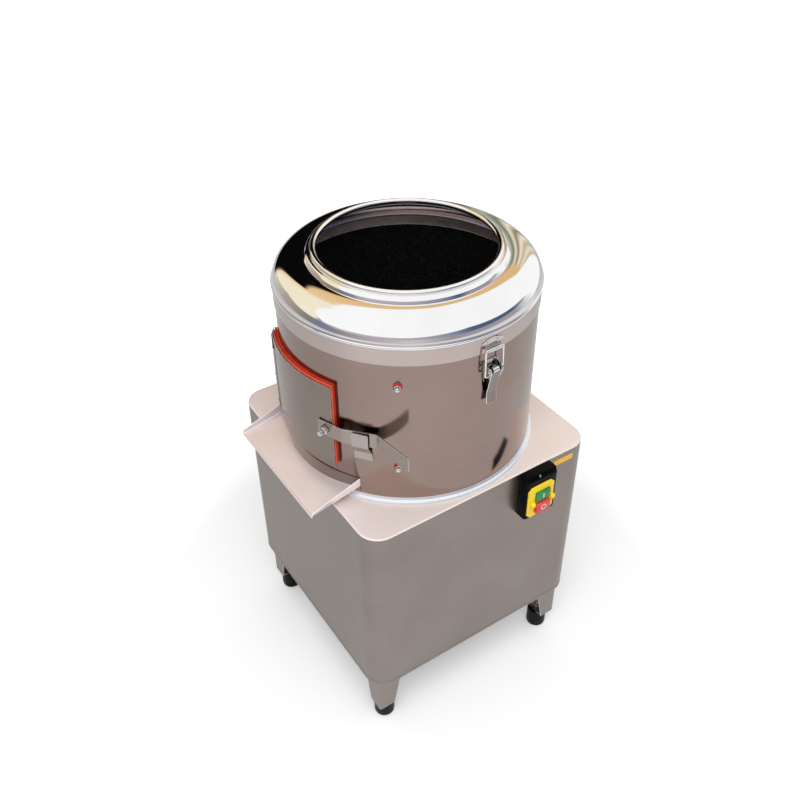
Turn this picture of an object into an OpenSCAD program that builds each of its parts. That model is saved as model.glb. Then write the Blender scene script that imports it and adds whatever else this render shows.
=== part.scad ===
// Batch potato peeler: a floor-standing cabinet carries a round drum with an
// abrasive lining and a spinning abrasive disc. Potatoes go in through the neck
// of the clamped cover and leave through the side door onto the chute.
// Millimetres, +Z up, front (door and chute) towards -Y, switch on the +X side.

/* [Cabinet] */
// Width and depth of the cabinet
cab_w = 424; // [400:1:460]
// Radius of the cabinet's upright corners
cab_corner_r = 35; // [30:1:45]
// Height of the worktop plate's upper face above the floor
base_h = 480; // [460:1:520]
// Height of the cabinet's lower edge above the floor
cab_bottom = 124; // [110:1:135]
// Sheet thickness of the cabinet walls
sheet = 1.5; // [1.2:0.1:2]
// Thickness of the worktop plate
plate_t = 2; // [1.5:0.1:3]
// Width of the flange folded in at the cabinet's lower edge
flange_w = 30; // [28:1:36]
// Width of the rear service panel
panel_w = 240; // [200:5:260]
// Height of the rear service panel
panel_h = 250; // [200:5:270]

/* [Legs] */
// Height of the legs' lower edge above the floor
leg_bottom = 38; // [34:1:46]
// Distance from the cabinet's side to the leg's outer face
leg_inset = 14; // [12:1:15]
// Leg width where it meets the cabinet
leg_top_w = 47; // [45:1:52]
// Leg width at its lower edge
leg_low_w = 30; // [27:1:33]
// Thickness of the leg's pressed sheet
leg_t = 3; // [2:0.5:4]
// Diameter of the rubber foot
foot_d = 36; // [32:1:38]
// Diameter of the foot's threaded stud
foot_stud_d = 10; // [8:1:12]

/* [Drum] */
// Outer radius of the drum
drum_r = 200; // [195:1:204]
// Distance from the cabinet's centre to the drum's axis, towards the front
drum_forward = 5; // [0:1:6]
// Drum wall thickness
drum_wall = 1.5; // [1:0.1:2]
// Height of the drum wall above the worktop
drum_h = 280; // [270:1:300]
// Height of the bead around the drum's foot
foot_bead_h = 10; // [8:1:11]
// Reach of the bead beyond the drum wall
foot_bead_w = 6; // [4:1:7]
// Thickness of the abrasive lining
lining_t = 5; // [4:0.5:6]
// Height of the lining's upper edge above the worktop
lining_top = 260; // [230:1:264]
// Angle of the first row of lining bolts from the front
bolt_row_a = 52.4; // [50:0.1:56]
// Height of the lower lining bolts above the worktop
bolt_low_z = 73; // [65:1:85]
// Height of the upper lining bolts above the worktop
bolt_high_z = 221; // [212:1:224]
// Diameter of the lining bolts
lining_bolt_d = 6; // [6:1:8]
// Diameter of the soft washers under the lining bolts
washer_d = 14; // [13:1:20]

/* [Door] */
// Half of the angle that the door panel spans
door_half_a = 25; // [24:0.5:26]
// Height of the door's lower edge above the worktop
door_low = 51; // [44:1:54]
// Height of the door's upper edge above the worktop
door_high = 202; // [190:1:204]
// Thickness of the door panel
door_t = 1.5; // [1:0.1:2]
// Thickness of the gasket between the door and the drum
gasket_t = 7; // [6:0.5:8]
// Diameter of the hinge knuckles
knuckle_d = 8.5; // [8:0.5:10]
// Diameter of the hinge pin
hinge_pin_d = 4.5; // [4:0.5:5]
// Length of the hinge
hinge_len = 116; // [100:1:120]

/* [Door latch] */
// Width of the flat latch bar
bar_w = 25; // [20:1:28]
// Thickness of the latch bar
bar_t = 2; // [1.5:0.5:3]
// Height of the latch bar's lower edge above the worktop
bar_low = 113; // [110:1:118]
// Length of the straight tail that is pulled by hand
tail_len = 69; // [60:1:80]
// Diameter of the latch bar's pivot bolt
pivot_d = 8; // [6:1:9]
// Width of the keeper that the bar drops into
keeper_w = 25; // [18:1:26]

/* [Chute] */
// Width of the chute between its side lips
chute_w = 230; // [210:1:240]
// Distance from the drum's axis to the chute's outer edge
chute_reach = 249; // [240:1:260]
// Height of the chute's outer edge above the worktop
chute_end_z = 4; // [3:1:8]
// Rise of the chute floor from its outer edge to the drum
chute_rise = 13; // [11:1:15]
// Sheet thickness of the chute
chute_t = 1.5; // [1.2:0.1:2]

/* [Cover] */
// Radius of the feed opening in the cover's neck
neck_r = 133; // [120:1:138]
// Radius of the rolled rim around the feed opening
rim_roll_r = 4.5; // [3:0.5:5]
// Height from the drum's upper edge to the top of the rim
cover_h = 56; // [50:1:64]
// Height of the band that reaches down over the drum
skirt_drop = 24; // [18:1:26]
// Sheet thickness of the cover
cover_t = 1.2; // [1:0.1:1.5]

/* [Toggle latches] */
// Angle of each toggle latch from the front, left and right alike
toggle_a = 91.5; // [88:0.5:95]
// Width of the lever
lever_w = 20; // [16:1:22]
// Length of the lever below its pivot
lever_len = 61; // [55:1:70]
// Wire diameter of the bail
bail_d = 3; // [2.5:0.1:3.5]
// Height of the toggle pivot above the worktop
toggle_z = 229; // [226:1:232]

/* [Switch] */
// Width of the switch enclosure
switch_w = 61; // [56:1:66]
// Height of the switch enclosure
switch_h = 87; // [84:1:92]
// Depth of the switch enclosure
switch_depth = 21; // [18:1:26]
// Distance from the cabinet's centre to the middle of the switch
switch_y = 95; // [80:1:120]
// Travel of the buttons
button_travel = 3; // [2:0.5:4]

/* [Drive] */
// Diameter of the main shaft
shaft_d = 25; // [20:1:28]
// Radius of the spinning disc
disc_r = 188; // [180:1:189]
// Outer diameter of the shaft pulley
big_pulley_d = 190; // [160:1:196]
// Outer diameter of the motor pulley
small_pulley_d = 60; // [56:1:66]
// Radius of the motor body
motor_r = 62; // [58:1:64]
// Diameter of the motor shaft
motor_shaft_d = 19; // [16:1:22]
// Outer diameter of the drain pipe
drain_d = 50; // [40:1:54]
// Wall of the drain pipe
drain_wall = 1.5; // [1:0.1:2.5]

/* [Hidden] */
$fn = 96;

// Clearances
gap = 0.3;          // between pieces that stay apart
run = 0.05;         // radial running clearance of shafts and pins
lap = 1;            // how far a cutter runs past what it cuts

// Colours
steel = [0.70, 0.68, 0.66];
bright = [0.86, 0.86, 0.87];
dark = [0.10, 0.10, 0.11];
iron = [0.30, 0.33, 0.36];
red_rubber = [0.77, 0.27, 0.18];
yellow = [1.0, 0.85, 0.0];
green = [0.05, 0.54, 0.29];
stop_red = [0.82, 0.25, 0.26];

// Cabinet places
half = cab_w / 2;
wall_in = half - sheet;
plate_z = base_h - plate_t;

// Drum places: angles run from the front (-Y) towards +X
drum_y = -drum_forward;
drum_in = drum_r - drum_wall;
drum_top = base_h + drum_h;
opening_half_a = door_half_a - 6;
opening_low = door_low + 12;
opening_high = door_high - 15;
disc_top = base_h + opening_low - 1;
bolt_rows = [for (i = [0 : 2]) bolt_row_a + 120 * i];
bolt_heights = [bolt_low_z, bolt_high_z];

// Turns the children to angle a on the drum, where -Y then points outwards
module at_drum(a, z) {
    translate([0, drum_y, z]) rotate([0, 0, a]) children();
}

// Ring segment about the drum's axis
module band(r_in, r_out, a0, a1, z0, z1) {
    translate([0, drum_y, z0]) rotate([0, 0, a0 - 90])
        rotate_extrude(angle = a1 - a0) translate([r_in, 0]) square([r_out - r_in, z1 - z0]);
}

// Full ring about the drum's axis
module ring(r_in, r_out, z0, z1) {
    translate([0, drum_y, z0]) difference() {
        cylinder(h = z1 - z0, r = r_out);
        translate([0, 0, -lap]) cylinder(h = z1 - z0 + 2 * lap, r = r_in);
    }
}

// Rod that points outwards from the drum's axis
module radial_rod(r_in, r_out, rad) {
    translate([0, -r_in, 0]) rotate([90, 0, 0]) cylinder(h = r_out - r_in, r = rad);
}

// Rod along X, centred
module cross_rod(len, rad) {
    rotate([0, 90, 0]) cylinder(h = len, r = rad, center = true);
}

// Moves the children from the +X +Y quarter to another one
module quarter(sx, sy) {
    mirror([sx < 0 ? 1 : 0, 0, 0]) mirror([0, sy < 0 ? 1 : 0, 0]) children();
}

// Square outline with rounded corners
module rounded_square(w, r) {
    c = w / 2 - r;
    square([w, 2 * c], center = true);
    square([2 * c, w], center = true);
    for (x = [-c, c], y = [-c, c]) translate([x, y]) circle(r = r);
}

/* ---------- cabinet ---------- */

leg_face = half - leg_inset;
foot_c = leg_face - leg_t - foot_d / 2 - 0.5;
m8_d = 8;
m8_head_d = 13;
leg_bolt_in = leg_face - leg_top_w + m8_head_d;
leg_bolt_out = leg_face - leg_t - m8_head_d / 2 - 0.5;
m8_head_h = 5.5;
hole_play = 0.25;

panel_z = (cab_bottom + plate_z) / 2;
panel_screw_d = 5;
panel_lap = 14;
drain_x = 105;
panel_x = drain_x - drain_d / 2 - panel_w / 2 - 8;
drain_y = 110;
drain_bend_r = 45;
drain_z = base_h - 80;
drain_reach = 25;
gland_x = 150;
gland_z = cab_bottom + 46;
gland_d = 16;
wire_hole_d = 18;

// Places of the two bolts that hold each leg, in the leg's own quarter
function leg_bolts() = [[leg_bolt_in, leg_bolt_out], [leg_bolt_out, leg_bolt_in]];

function panel_screw_points() =
    [for (x = [-1, 1], z = [-1, 0, 1])
        [panel_x + x * (panel_w / 2 - panel_lap / 2), panel_z + z * (panel_h / 2 - panel_lap / 2)]];

module cabinet_shell() {
    color(steel) difference() {
        union() {
            translate([0, 0, cab_bottom]) linear_extrude(height = plate_z - cab_bottom) difference() {
                rounded_square(cab_w, cab_corner_r);
                rounded_square(2 * wall_in, cab_corner_r - sheet);
            }
            translate([0, 0, cab_bottom]) linear_extrude(height = sheet) difference() {
                rounded_square(cab_w, cab_corner_r);
                square(2 * (wall_in - flange_w), center = true);
            }
        }
        translate([panel_x - panel_w / 2 + panel_lap, wall_in - lap, panel_z - panel_h / 2 + panel_lap])
            cube([panel_w - 2 * panel_lap, sheet + 2 * lap, panel_h - 2 * panel_lap]);
        for (p = panel_screw_points())
            translate([p[0], half + lap, p[1]]) rotate([90, 0, 0])
                cylinder(h = sheet + 2 * lap, d = panel_screw_d + hole_play);
        translate([drain_x, half + lap, drain_z]) rotate([90, 0, 0])
            cylinder(h = sheet + 2 * lap, d = drain_d + 2 * gap);
        translate([gland_x, half + lap, gland_z]) rotate([90, 0, 0])
            cylinder(h = sheet + 2 * lap, d = gland_d + 2 * gap);
        translate([wall_in - lap, switch_y, base_h - switch_h / 2]) rotate([0, 90, 0])
            cylinder(h = sheet + 2 * lap, d = wire_hole_d);
        for (sx = [-1, 1], sy = [-1, 1], p = leg_bolts())
            translate([sx * p[0], sy * p[1], cab_bottom - lap])
                cylinder(h = sheet + 2 * lap, d = m8_d + 2 * hole_play);
    }
}

module top_plate() {
    color(bright) translate([0, 0, plate_z]) difference() {
        linear_extrude(height = plate_t) rounded_square(cab_w, cab_corner_r);
        translate([0, drum_y, -lap]) cylinder(h = plate_t + 2 * lap, r = nose_r + gap);
        translate([drain_x, drain_y, -lap]) cylinder(h = plate_t + 2 * lap, d = drain_d + 2 * gap);
    }
}

module rear_panel() {
    color(steel) difference() {
        translate([panel_x - panel_w / 2, half, panel_z - panel_h / 2]) cube([panel_w, sheet, panel_h]);
        for (p = panel_screw_points())
            translate([p[0], half + sheet + lap, p[1]]) rotate([90, 0, 0])
                cylinder(h = sheet + 2 * lap, d = panel_screw_d + hole_play);
    }
}

module panel_screws() {
    head_h = 2.5;
    tail = 6;
    color(bright) for (p = panel_screw_points())
        translate([p[0], half + sheet, p[1]]) rotate([-90, 0, 0]) {
            cylinder(h = head_h, d = 2 * panel_screw_d);
            translate([0, 0, -sheet - tail]) cylinder(h = sheet + tail, d = panel_screw_d);
        }
}

/* ---------- legs and feet ---------- */

foot_seat_z = leg_bottom + 4;
foot_plate_w = leg_low_w + 8;
leg_fold_r = 6;

// One face of the leg: wide at the cabinet, narrow at the foot
module leg_face_plate() {
    h = cab_bottom - leg_bottom;
    translate([0, leg_face, leg_bottom]) rotate([90, 0, 0]) linear_extrude(height = leg_t)
        polygon([[leg_face - leg_low_w, 0], [leg_face, 0], [leg_face, h], [leg_face - leg_top_w, h]]);
}

module leg(sx, sy) {
    color(steel) quarter(sx, sy) difference() {
        union() {
            leg_face_plate();
            mirror([1, -1, 0]) leg_face_plate();
            translate([leg_face - leg_top_w, leg_face - leg_top_w, cab_bottom - leg_t])
                cube([leg_top_w, leg_top_w, leg_t]);
            translate([leg_face - foot_plate_w, leg_face - foot_plate_w, foot_seat_z])
                cube([foot_plate_w, foot_plate_w, leg_t]);
        }
        // rounds the fold at the outer corner
        translate([leg_face - leg_fold_r, leg_face - leg_fold_r, leg_bottom - lap]) difference() {
            cube([2 * leg_fold_r, 2 * leg_fold_r, cab_bottom]);
            translate([0, 0, -lap]) cylinder(h = cab_bottom + 2 * lap, r = leg_fold_r);
        }
        translate([foot_c, foot_c, foot_seat_z - lap])
            cylinder(h = leg_t + 2 * lap, d = foot_stud_d + 2 * hole_play);
        for (p = leg_bolts()) translate([p[0], p[1], cab_bottom - leg_t - lap])
            cylinder(h = leg_t + 2 * lap, d = m8_d + 2 * hole_play);
    }
}

module foot(sx, sy) {
    round_in = 3;
    nut_h = 8;
    color(dark) translate([sx * foot_c, sy * foot_c, 0]) {
        rotate_extrude() polygon([
            [0, 0], [foot_d / 2 - round_in, 0], [foot_d / 2 - 1, 1], [foot_d / 2, round_in],
            [foot_d / 2, foot_seat_z - 2], [foot_d / 2 - 2, foot_seat_z], [0, foot_seat_z]]);
        translate([0, 0, foot_seat_z]) cylinder(h = leg_t + nut_h + 4, d = foot_stud_d);
        translate([0, 0, foot_seat_z + leg_t]) cylinder(h = nut_h, d = 1.8 * foot_stud_d, $fn = 6);
    }
}

/* ---------- inner frame and drive ---------- */

rail_w = 20;
rail_h = 36;
rail_wall = 3;
rail_z = plate_z - rail_h;
side_rail_x = 175;
cross_rail_off = 75;
side_rail_in = side_rail_x - rail_w / 2;
flange_t = 10;

motor_x = -92;
motor_y = 95;
motor_h = 115;
motor_wall = 6;
fan_h = 36;
motor_z = rail_z - flange_t - m8_head_h - 3 - fan_h - motor_h;
bracket_t = 6;
bracket_x = motor_x - motor_r - 8;
bracket_half_y = 60;
bracket_low = motor_z + 5;
motor_foot_h = 20;

pulley_h = 24;
motor_hub_h = 8;
pulley_z = motor_z - pulley_h - motor_hub_h - 2.5;
belt_w = 12.6;
belt_t = 8;
belt_sink = 0.8;
groove_w = belt_w + 2 * gap;
groove_depth = belt_t + belt_sink + gap;
big_r = big_pulley_d / 2;
small_r = small_pulley_d / 2;

shaft_low = pulley_z - 2;
housing_low = base_h - 150;
housing_r = 42;
nose_r = 32;
nose_top = base_h + 20;
flange_half = cross_rail_off + rail_w / 2;
bearing_r = 26;
bearing_h = 15;
seal_h = 8;
housing_bore_r = 20;
upper_bearing_z = nose_top - 30;
flange_bolt = cross_rail_off - 5;

// Upright M8 bolt with its head below, from z to z + grip
module m8_bolt(x, y, z, grip) {
    nut_over = 3;
    translate([x, y, z]) {
        translate([0, 0, -m8_head_h]) cylinder(h = m8_head_h, d = m8_head_d, $fn = 6);
        cylinder(h = grip + m8_head_h + nut_over, d = m8_d);
        translate([0, 0, grip]) cylinder(h = m8_head_h, d = m8_head_d, $fn = 6);
    }
}

module housing_bolt_places() {
    for (x = [-flange_bolt, flange_bolt], y = [-cross_rail_off, cross_rail_off])
        translate([x, drum_y + y, 0]) children();
}

module frame_bolts() {
    color(bright) {
        for (sx = [-1, 1], sy = [-1, 1], p = leg_bolts())
            m8_bolt(sx * p[0], sy * p[1], cab_bottom - leg_t, leg_t + sheet);
        housing_bolt_places() m8_bolt(0, 0, rail_z - flange_t, flange_t + rail_wall);
        for (y = bracket_bolt_ys()) m8_bolt(-side_rail_x, y, rail_z - bracket_t, bracket_t + rail_wall);
    }
}

function bracket_bolt_ys() = [motor_y - 45, motor_y + 45];

// Hollow rail along X or Y
module rail(len, along_y) {
    rotate([0, 0, along_y ? 90 : 0]) translate([-len / 2, -rail_w / 2, 0]) difference() {
        cube([len, rail_w, rail_h]);
        translate([-lap, rail_wall, rail_wall])
            cube([len + 2 * lap, rail_w - 2 * rail_wall, rail_h - 2 * rail_wall]);
    }
}

module cross_frame() {
    color(iron) difference() {
        translate([0, 0, rail_z]) {
            // the side rails end on the cabinet's walls and follow its rounded corners
            intersection() {
                for (x = [-side_rail_x, side_rail_x]) translate([x, 0, 0]) rail(2 * wall_in, true);
                translate([0, 0, -lap]) linear_extrude(height = rail_h + 2 * lap)
                    rounded_square(2 * wall_in, cab_corner_r - sheet);
            }
            for (y = [-cross_rail_off, cross_rail_off])
                translate([0, drum_y + y, 0]) rail(2 * side_rail_in, false);
        }
        housing_bolt_places() translate([0, 0, rail_z - lap])
            cylinder(h = rail_wall + 2 * lap, d = m8_d + 2 * hole_play);
        for (y = bracket_bolt_ys()) translate([-side_rail_x, y, rail_z - lap])
            cylinder(h = rail_wall + 2 * lap, d = m8_d + 2 * hole_play);
    }
}

module motor_bracket() {
    color(iron) difference() {
        union() {
            translate([bracket_x - bracket_t, motor_y - bracket_half_y, bracket_low])
                cube([bracket_t, 2 * bracket_half_y, rail_z - bracket_low]);
            translate([-side_rail_x - rail_w / 2, motor_y - bracket_half_y, rail_z - bracket_t])
                cube([bracket_x + side_rail_x + rail_w / 2, 2 * bracket_half_y, bracket_t]);
        }
        for (y = bracket_bolt_ys()) translate([-side_rail_x, y, rail_z - bracket_t - lap])
            cylinder(h = bracket_t + 2 * lap, d = m8_d + 2 * hole_play);
    }
}

motor_rib_out = 3;
motor_in = motor_r - motor_rib_out - motor_wall;
rotor_r = motor_in - 13;
rotor_margin = 20;

module motor_housing() {
    rib_count = 24;
    rib_w = 3;
    shield_h = 12;
    foot_in = shield_h + 8;
    foot_w = 1.12 * motor_r;
    color(iron) translate([motor_x, motor_y, motor_z]) difference() {
        union() {
            cylinder(h = motor_h, r = motor_r - motor_rib_out);
            for (i = [0 : rib_count - 1]) rotate([0, 0, i * 360 / rib_count])
                translate([0, -rib_w / 2, shield_h]) cube([motor_r, rib_w, motor_h - 2 * shield_h]);
            for (z = [foot_in, motor_h - foot_in - motor_foot_h])
                translate([bracket_x - motor_x, -foot_w / 2, z])
                    cube([motor_x - bracket_x - motor_r / 2, foot_w, motor_foot_h]);
        }
        translate([0, 0, motor_wall]) cylinder(h = motor_h - 2 * motor_wall, r = motor_in);
        translate([0, 0, -lap]) cylinder(h = motor_h + 2 * lap, d = motor_shaft_d + 2 * run);
    }
}

module motor_stator() {
    air_gap = 0.5;
    color(steel) translate([motor_x, motor_y, motor_z + rotor_margin]) difference() {
        cylinder(h = motor_h - 2 * rotor_margin, r = motor_in);
        translate([0, 0, -lap]) cylinder(h = motor_h, r = rotor_r + air_gap);
    }
}

module motor_fan_cover() {
    color(dark) translate([motor_x, motor_y, motor_z + motor_h]) difference() {
        cylinder(h = fan_h, r = motor_r - 2);
        translate([0, 0, -lap]) cylinder(h = fan_h - sheet + lap, r = motor_r - 2 - sheet);
    }
}

module terminal_box() {
    box_w = 40;
    box_d = 24;
    box_h = 56;
    color(dark) translate([motor_x + motor_r, motor_y - box_w / 2, motor_z + (motor_h - box_h) / 2])
        cube([box_d, box_w, box_h]);
}

module motor_rotor() {
    fan_blades = 6;
    color(bright) translate([motor_x, motor_y, 0]) {
        translate([0, 0, shaft_low])
            cylinder(h = motor_z + motor_h + fan_h - 12 - shaft_low, d = motor_shaft_d);
        translate([0, 0, motor_z + rotor_margin]) cylinder(h = motor_h - 2 * rotor_margin, r = rotor_r);
        for (i = [0 : fan_blades - 1]) rotate([0, 0, i * 360 / fan_blades])
            translate([0, -1, motor_z + motor_h + 4]) cube([motor_r - 14, 2, fan_h - 18]);
    }
}

// Grooved pulley about the Z axis, from z = 0 up
module pulley(r, bore_d, hub_r, hub_h) {
    groove_z = (pulley_h - groove_w) / 2;
    difference() {
        rotate_extrude() polygon([
            [bore_d / 2, 0], [r, 0], [r, groove_z], [r - groove_depth, groove_z],
            [r - groove_depth, groove_z + groove_w], [r, groove_z + groove_w], [r, pulley_h],
            [hub_r, pulley_h], [hub_r, pulley_h + hub_h], [bore_d / 2, pulley_h + hub_h]]);
        if (r > 2 * hub_r) for (a = [0 : 60 : 300]) rotate([0, 0, a])
            translate([(r - groove_depth + hub_r) / 2, 0, -lap])
                cylinder(h = pulley_h + 2 * lap, r = (r - groove_depth - hub_r) / 3);
    }
}

module motor_pulley() {
    color(iron) translate([motor_x, motor_y, pulley_z]) pulley(small_r, motor_shaft_d, 18, motor_hub_h);
}

module shaft_pulley() {
    color(iron) translate([0, drum_y, pulley_z]) pulley(big_r, shaft_d, 26, 18);
}

// The belt runs in the middle of both grooves, tangent to both pulleys
belt_dist = norm([motor_x, motor_y - drum_y]);
belt_a = atan2(motor_y - drum_y, motor_x);
belt_lean = asin((big_r - small_r) / belt_dist);
belt_z = pulley_z + (pulley_h - belt_w) / 2;

// The belt's bend round a pulley of radius r, spanning half_a to both sides of the X axis
module belt_arc(r, half_a) {
    rotate([0, 0, -half_a]) rotate_extrude(angle = 2 * half_a)
        translate([r - belt_sink - belt_t, 0]) square([belt_t, belt_w]);
}

module drive_belt() {
    straight_in = 0.02;
    color(dark) translate([0, drum_y, belt_z]) rotate([0, 0, belt_a]) {
        rotate([0, 0, 180]) belt_arc(big_r, 90 + belt_lean);
        translate([belt_dist, 0, 0]) belt_arc(small_r, 90 - belt_lean);
        for (side = [0, 1]) mirror([0, side, 0]) rotate([0, 0, -belt_lean])
            translate([-lap / 2, big_r - belt_sink - belt_t + straight_in, 0])
                cube([belt_dist * cos(belt_lean) + lap, belt_t - 2 * straight_in, belt_w]);
    }
}

hub_low = nose_top + 3;
disc_t = 8;
abrasive_t = 6;
disc_low = disc_top - abrasive_t - disc_t;
shaft_top = disc_top + 8;

module main_shaft() {
    color(bright) translate([0, drum_y, shaft_low]) cylinder(h = shaft_top - shaft_low, d = shaft_d);
}

module bearing_housing() {
    color(iron) translate([0, drum_y, 0]) difference() {
        union() {
            translate([0, 0, housing_low]) cylinder(h = rail_z - housing_low, r = housing_r);
            translate([-flange_half, -flange_half, rail_z - flange_t])
                cube([2 * flange_half, 2 * flange_half, flange_t]);
            translate([0, 0, rail_z]) cylinder(h = nose_top - rail_z, r = nose_r);
        }
        translate([0, 0, housing_low - lap])
            cylinder(h = nose_top - housing_low + 2 * lap, r = housing_bore_r);
        translate([0, 0, housing_low - lap]) cylinder(h = bearing_h + lap, r = bearing_r);
        translate([0, 0, upper_bearing_z]) cylinder(h = nose_top - upper_bearing_z + lap, r = bearing_r);
        for (x = [-flange_bolt, flange_bolt], y = [-cross_rail_off, cross_rail_off])
            translate([x, y, rail_z - flange_t - lap])
                cylinder(h = flange_t + 2 * lap, d = m8_d + 2 * hole_play);
    }
}

// Ring that sits in the housing and lets the main shaft run
module shaft_ring(z, h) {
    translate([0, drum_y, z]) difference() {
        cylinder(h = h, r = bearing_r);
        translate([0, 0, -lap]) cylinder(h = h + 2 * lap, r = shaft_d / 2 + run);
    }
}

module shaft_bearings() {
    color(bright) for (z = [housing_low, upper_bearing_z]) shaft_ring(z, bearing_h);
}

module shaft_seal() {
    color(dark) shaft_ring(upper_bearing_z + bearing_h, seal_h);
}

module disc_plate() {
    hub_r = 36;
    color(steel) translate([0, drum_y, 0]) difference() {
        union() {
            translate([0, 0, disc_low]) cylinder(h = disc_t, r = disc_r);
            translate([0, 0, hub_low]) cylinder(h = disc_low - hub_low + lap, r = hub_r);
        }
        translate([0, 0, hub_low - lap]) cylinder(h = disc_top, d = shaft_d);
    }
}

// Coarse facing with raised humps that toss the potatoes
module disc_abrasive() {
    hump_r = 30;
    hump_rise = 10;
    hub_clear = 32;
    color(dark) translate([0, drum_y, disc_low + disc_t]) difference() {
        union() {
            cylinder(h = abrasive_t, r = disc_r - 1);
            intersection() {
                for (a = [0, 120, 240]) rotate([0, 0, a])
                    translate([0, 0, abrasive_t + hump_rise - hump_r]) rotate([0, 90, 0])
                        cylinder(h = disc_r, r = hump_r);
                cylinder(h = abrasive_t + hump_rise, r = disc_r - 1);
            }
        }
        translate([0, 0, -lap]) cylinder(h = 2 * hump_r, r = hub_clear);
    }
}

module disc_nut() {
    washer_r = 31;
    washer_h = 4;
    nut_r = 19;
    nut_h = 22;
    color(bright) translate([0, drum_y, disc_low + disc_t]) difference() {
        union() {
            cylinder(h = washer_h, r = washer_r);
            cylinder(h = nut_h - 6, r = nut_r, $fn = 6);
            cylinder(h = nut_h, r = nut_r - 5);
        }
        translate([0, 0, -lap]) cylinder(h = shaft_top - disc_low - disc_t + lap, d = shaft_d);
    }
}

/* ---------- drum ---------- */

drum_opening_z = [base_h + opening_low, base_h + opening_high];
floor_t = 3;
pivot_a = 22;
pivot_z = base_h + bar_low + bar_w / 2;

module lining_bolt_places() {
    for (a = bolt_rows, z = bolt_heights) at_drum(a, base_h + z) children();
}

module drum_shell() {
    bolt_hole_r = lining_bolt_d / 2 + hole_play;
    color(steel) difference() {
        union() {
            ring(drum_in, drum_r, base_h, drum_top);
            // rounded bead around the foot
            translate([0, drum_y, base_h]) rotate_extrude() difference() {
                translate([drum_r, 0]) square([foot_bead_w, foot_bead_h]);
                translate([drum_r + foot_bead_w, foot_bead_h]) circle(r = foot_bead_w);
            }
        }
        band(drum_in - lap, drum_r + lap, -opening_half_a, opening_half_a,
            drum_opening_z[0], drum_opening_z[1]);
        lining_bolt_places() radial_rod(drum_in - 2 * lap, drum_r + lap, bolt_hole_r);
    }
}

module drum_floor() {
    color(steel) difference() {
        translate([0, drum_y, base_h]) cylinder(h = floor_t, r = drum_in);
        translate([0, drum_y, base_h - lap]) cylinder(h = floor_t + 2 * lap, r = nose_r + gap);
        translate([drain_x, drain_y, base_h - lap]) cylinder(h = floor_t + 2 * lap, d = drain_d + 2 * gap);
    }
}

// Straight down from the drum floor, then a bend out through the rear wall, with a
// collar that seats against the wall's outer face
module drain_pipe() {
    r_out = drain_d / 2;
    r_in = r_out - drain_wall;
    drop = base_h + floor_t - drain_z - drain_bend_r;
    run_y = half + drain_reach - drain_y - drain_bend_r;
    collar_t = 2;
    collar_w = 4;
    module tube_outline() {
        difference() {
            circle(r = r_out);
            circle(r = r_in);
        }
    }
    color(steel) {
        translate([drain_x, half + gap, drain_z]) rotate([-90, 0, 0])
            linear_extrude(height = collar_t) difference() {
                circle(r = r_out + collar_w);
                circle(r = r_in);
            }
        translate([drain_x, drain_y, drain_z + drain_bend_r]) linear_extrude(height = drop) tube_outline();
        translate([drain_x, drain_y + drain_bend_r, drain_z]) rotate([-90, 0, 0])
            linear_extrude(height = run_y) tube_outline();
        translate([drain_x, drain_y + drain_bend_r, drain_z + drain_bend_r]) rotate([0, 90, 0])
            rotate([0, 0, -90]) rotate_extrude(angle = 90) translate([drain_bend_r, 0]) tube_outline();
    }
}

module lining() {
    lining_out = drum_in - gap;
    lining_low = base_h + 20;
    color(dark) difference() {
        ring(lining_out - lining_t, lining_out, lining_low, base_h + lining_top);
        band(lining_out - lining_t - lap, lining_out + lap, -opening_half_a - 1, opening_half_a + 1,
            drum_opening_z[0] - 3, drum_opening_z[1] + 3);
        lining_bolt_places()
            radial_rod(lining_out - lining_t - 2 * lap, lining_out + lap, lining_bolt_d / 2 + hole_play);
    }
}

washer_h = 1.5;

// Bolt through wall and lining, with a cap nut on the soft washer outside
module lining_bolts() {
    nut_w = 10;
    nut_h = 3;
    cap_r = 3.9;
    cap_h = 3;
    color(bright) lining_bolt_places() {
        radial_rod(drum_in - gap - lining_t + 0.5, drum_r + washer_h + nut_h, lining_bolt_d / 2);
        translate([0, -drum_r - washer_h, 0]) rotate([90, 0, 0]) cylinder(h = nut_h, d = nut_w, $fn = 6);
        radial_rod(drum_r + washer_h, drum_r + washer_h + nut_h + cap_h, cap_r);
        translate([0, -drum_r - washer_h - nut_h - cap_h, 0]) sphere(r = cap_r);
    }
}

module lining_washers() {
    color(red_rubber) lining_bolt_places() difference() {
        radial_rod(drum_r, drum_r + washer_h, washer_d / 2);
        radial_rod(drum_r - lap, drum_r + washer_h + lap, lining_bolt_d / 2 + run);
        // the washer is pressed to the drum's curve
        translate([0, 0, -washer_d]) cylinder(h = 2 * washer_d, r = drum_r);
    }
}

/* ---------- door ---------- */

gasket_in = drum_r + gap;
gasket_out = gasket_in + gasket_t;
door_in = gasket_out;
door_out = door_in + door_t;
gasket_half_a = door_half_a + 0.7;
gasket_z = [drum_opening_z[0] - 4, base_h + door_high + 4];
hinge_a = -(door_half_a + 4.5);
hinge_r = door_out - 0.8;
hinge_low = base_h + door_low + 16;
knuckle_h = hinge_len / 3;
leaf_t = 1.5;
hinge_pos = [hinge_r * sin(hinge_a), drum_y - hinge_r * cos(hinge_a)];

module door_panel() {
    color(steel) difference() {
        band(door_in, door_out, -door_half_a, door_half_a, base_h + door_low, base_h + door_high);
        at_drum(pivot_a, pivot_z) radial_rod(door_in - lap, door_out + lap, pivot_d / 2 + run);
    }
}

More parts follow.
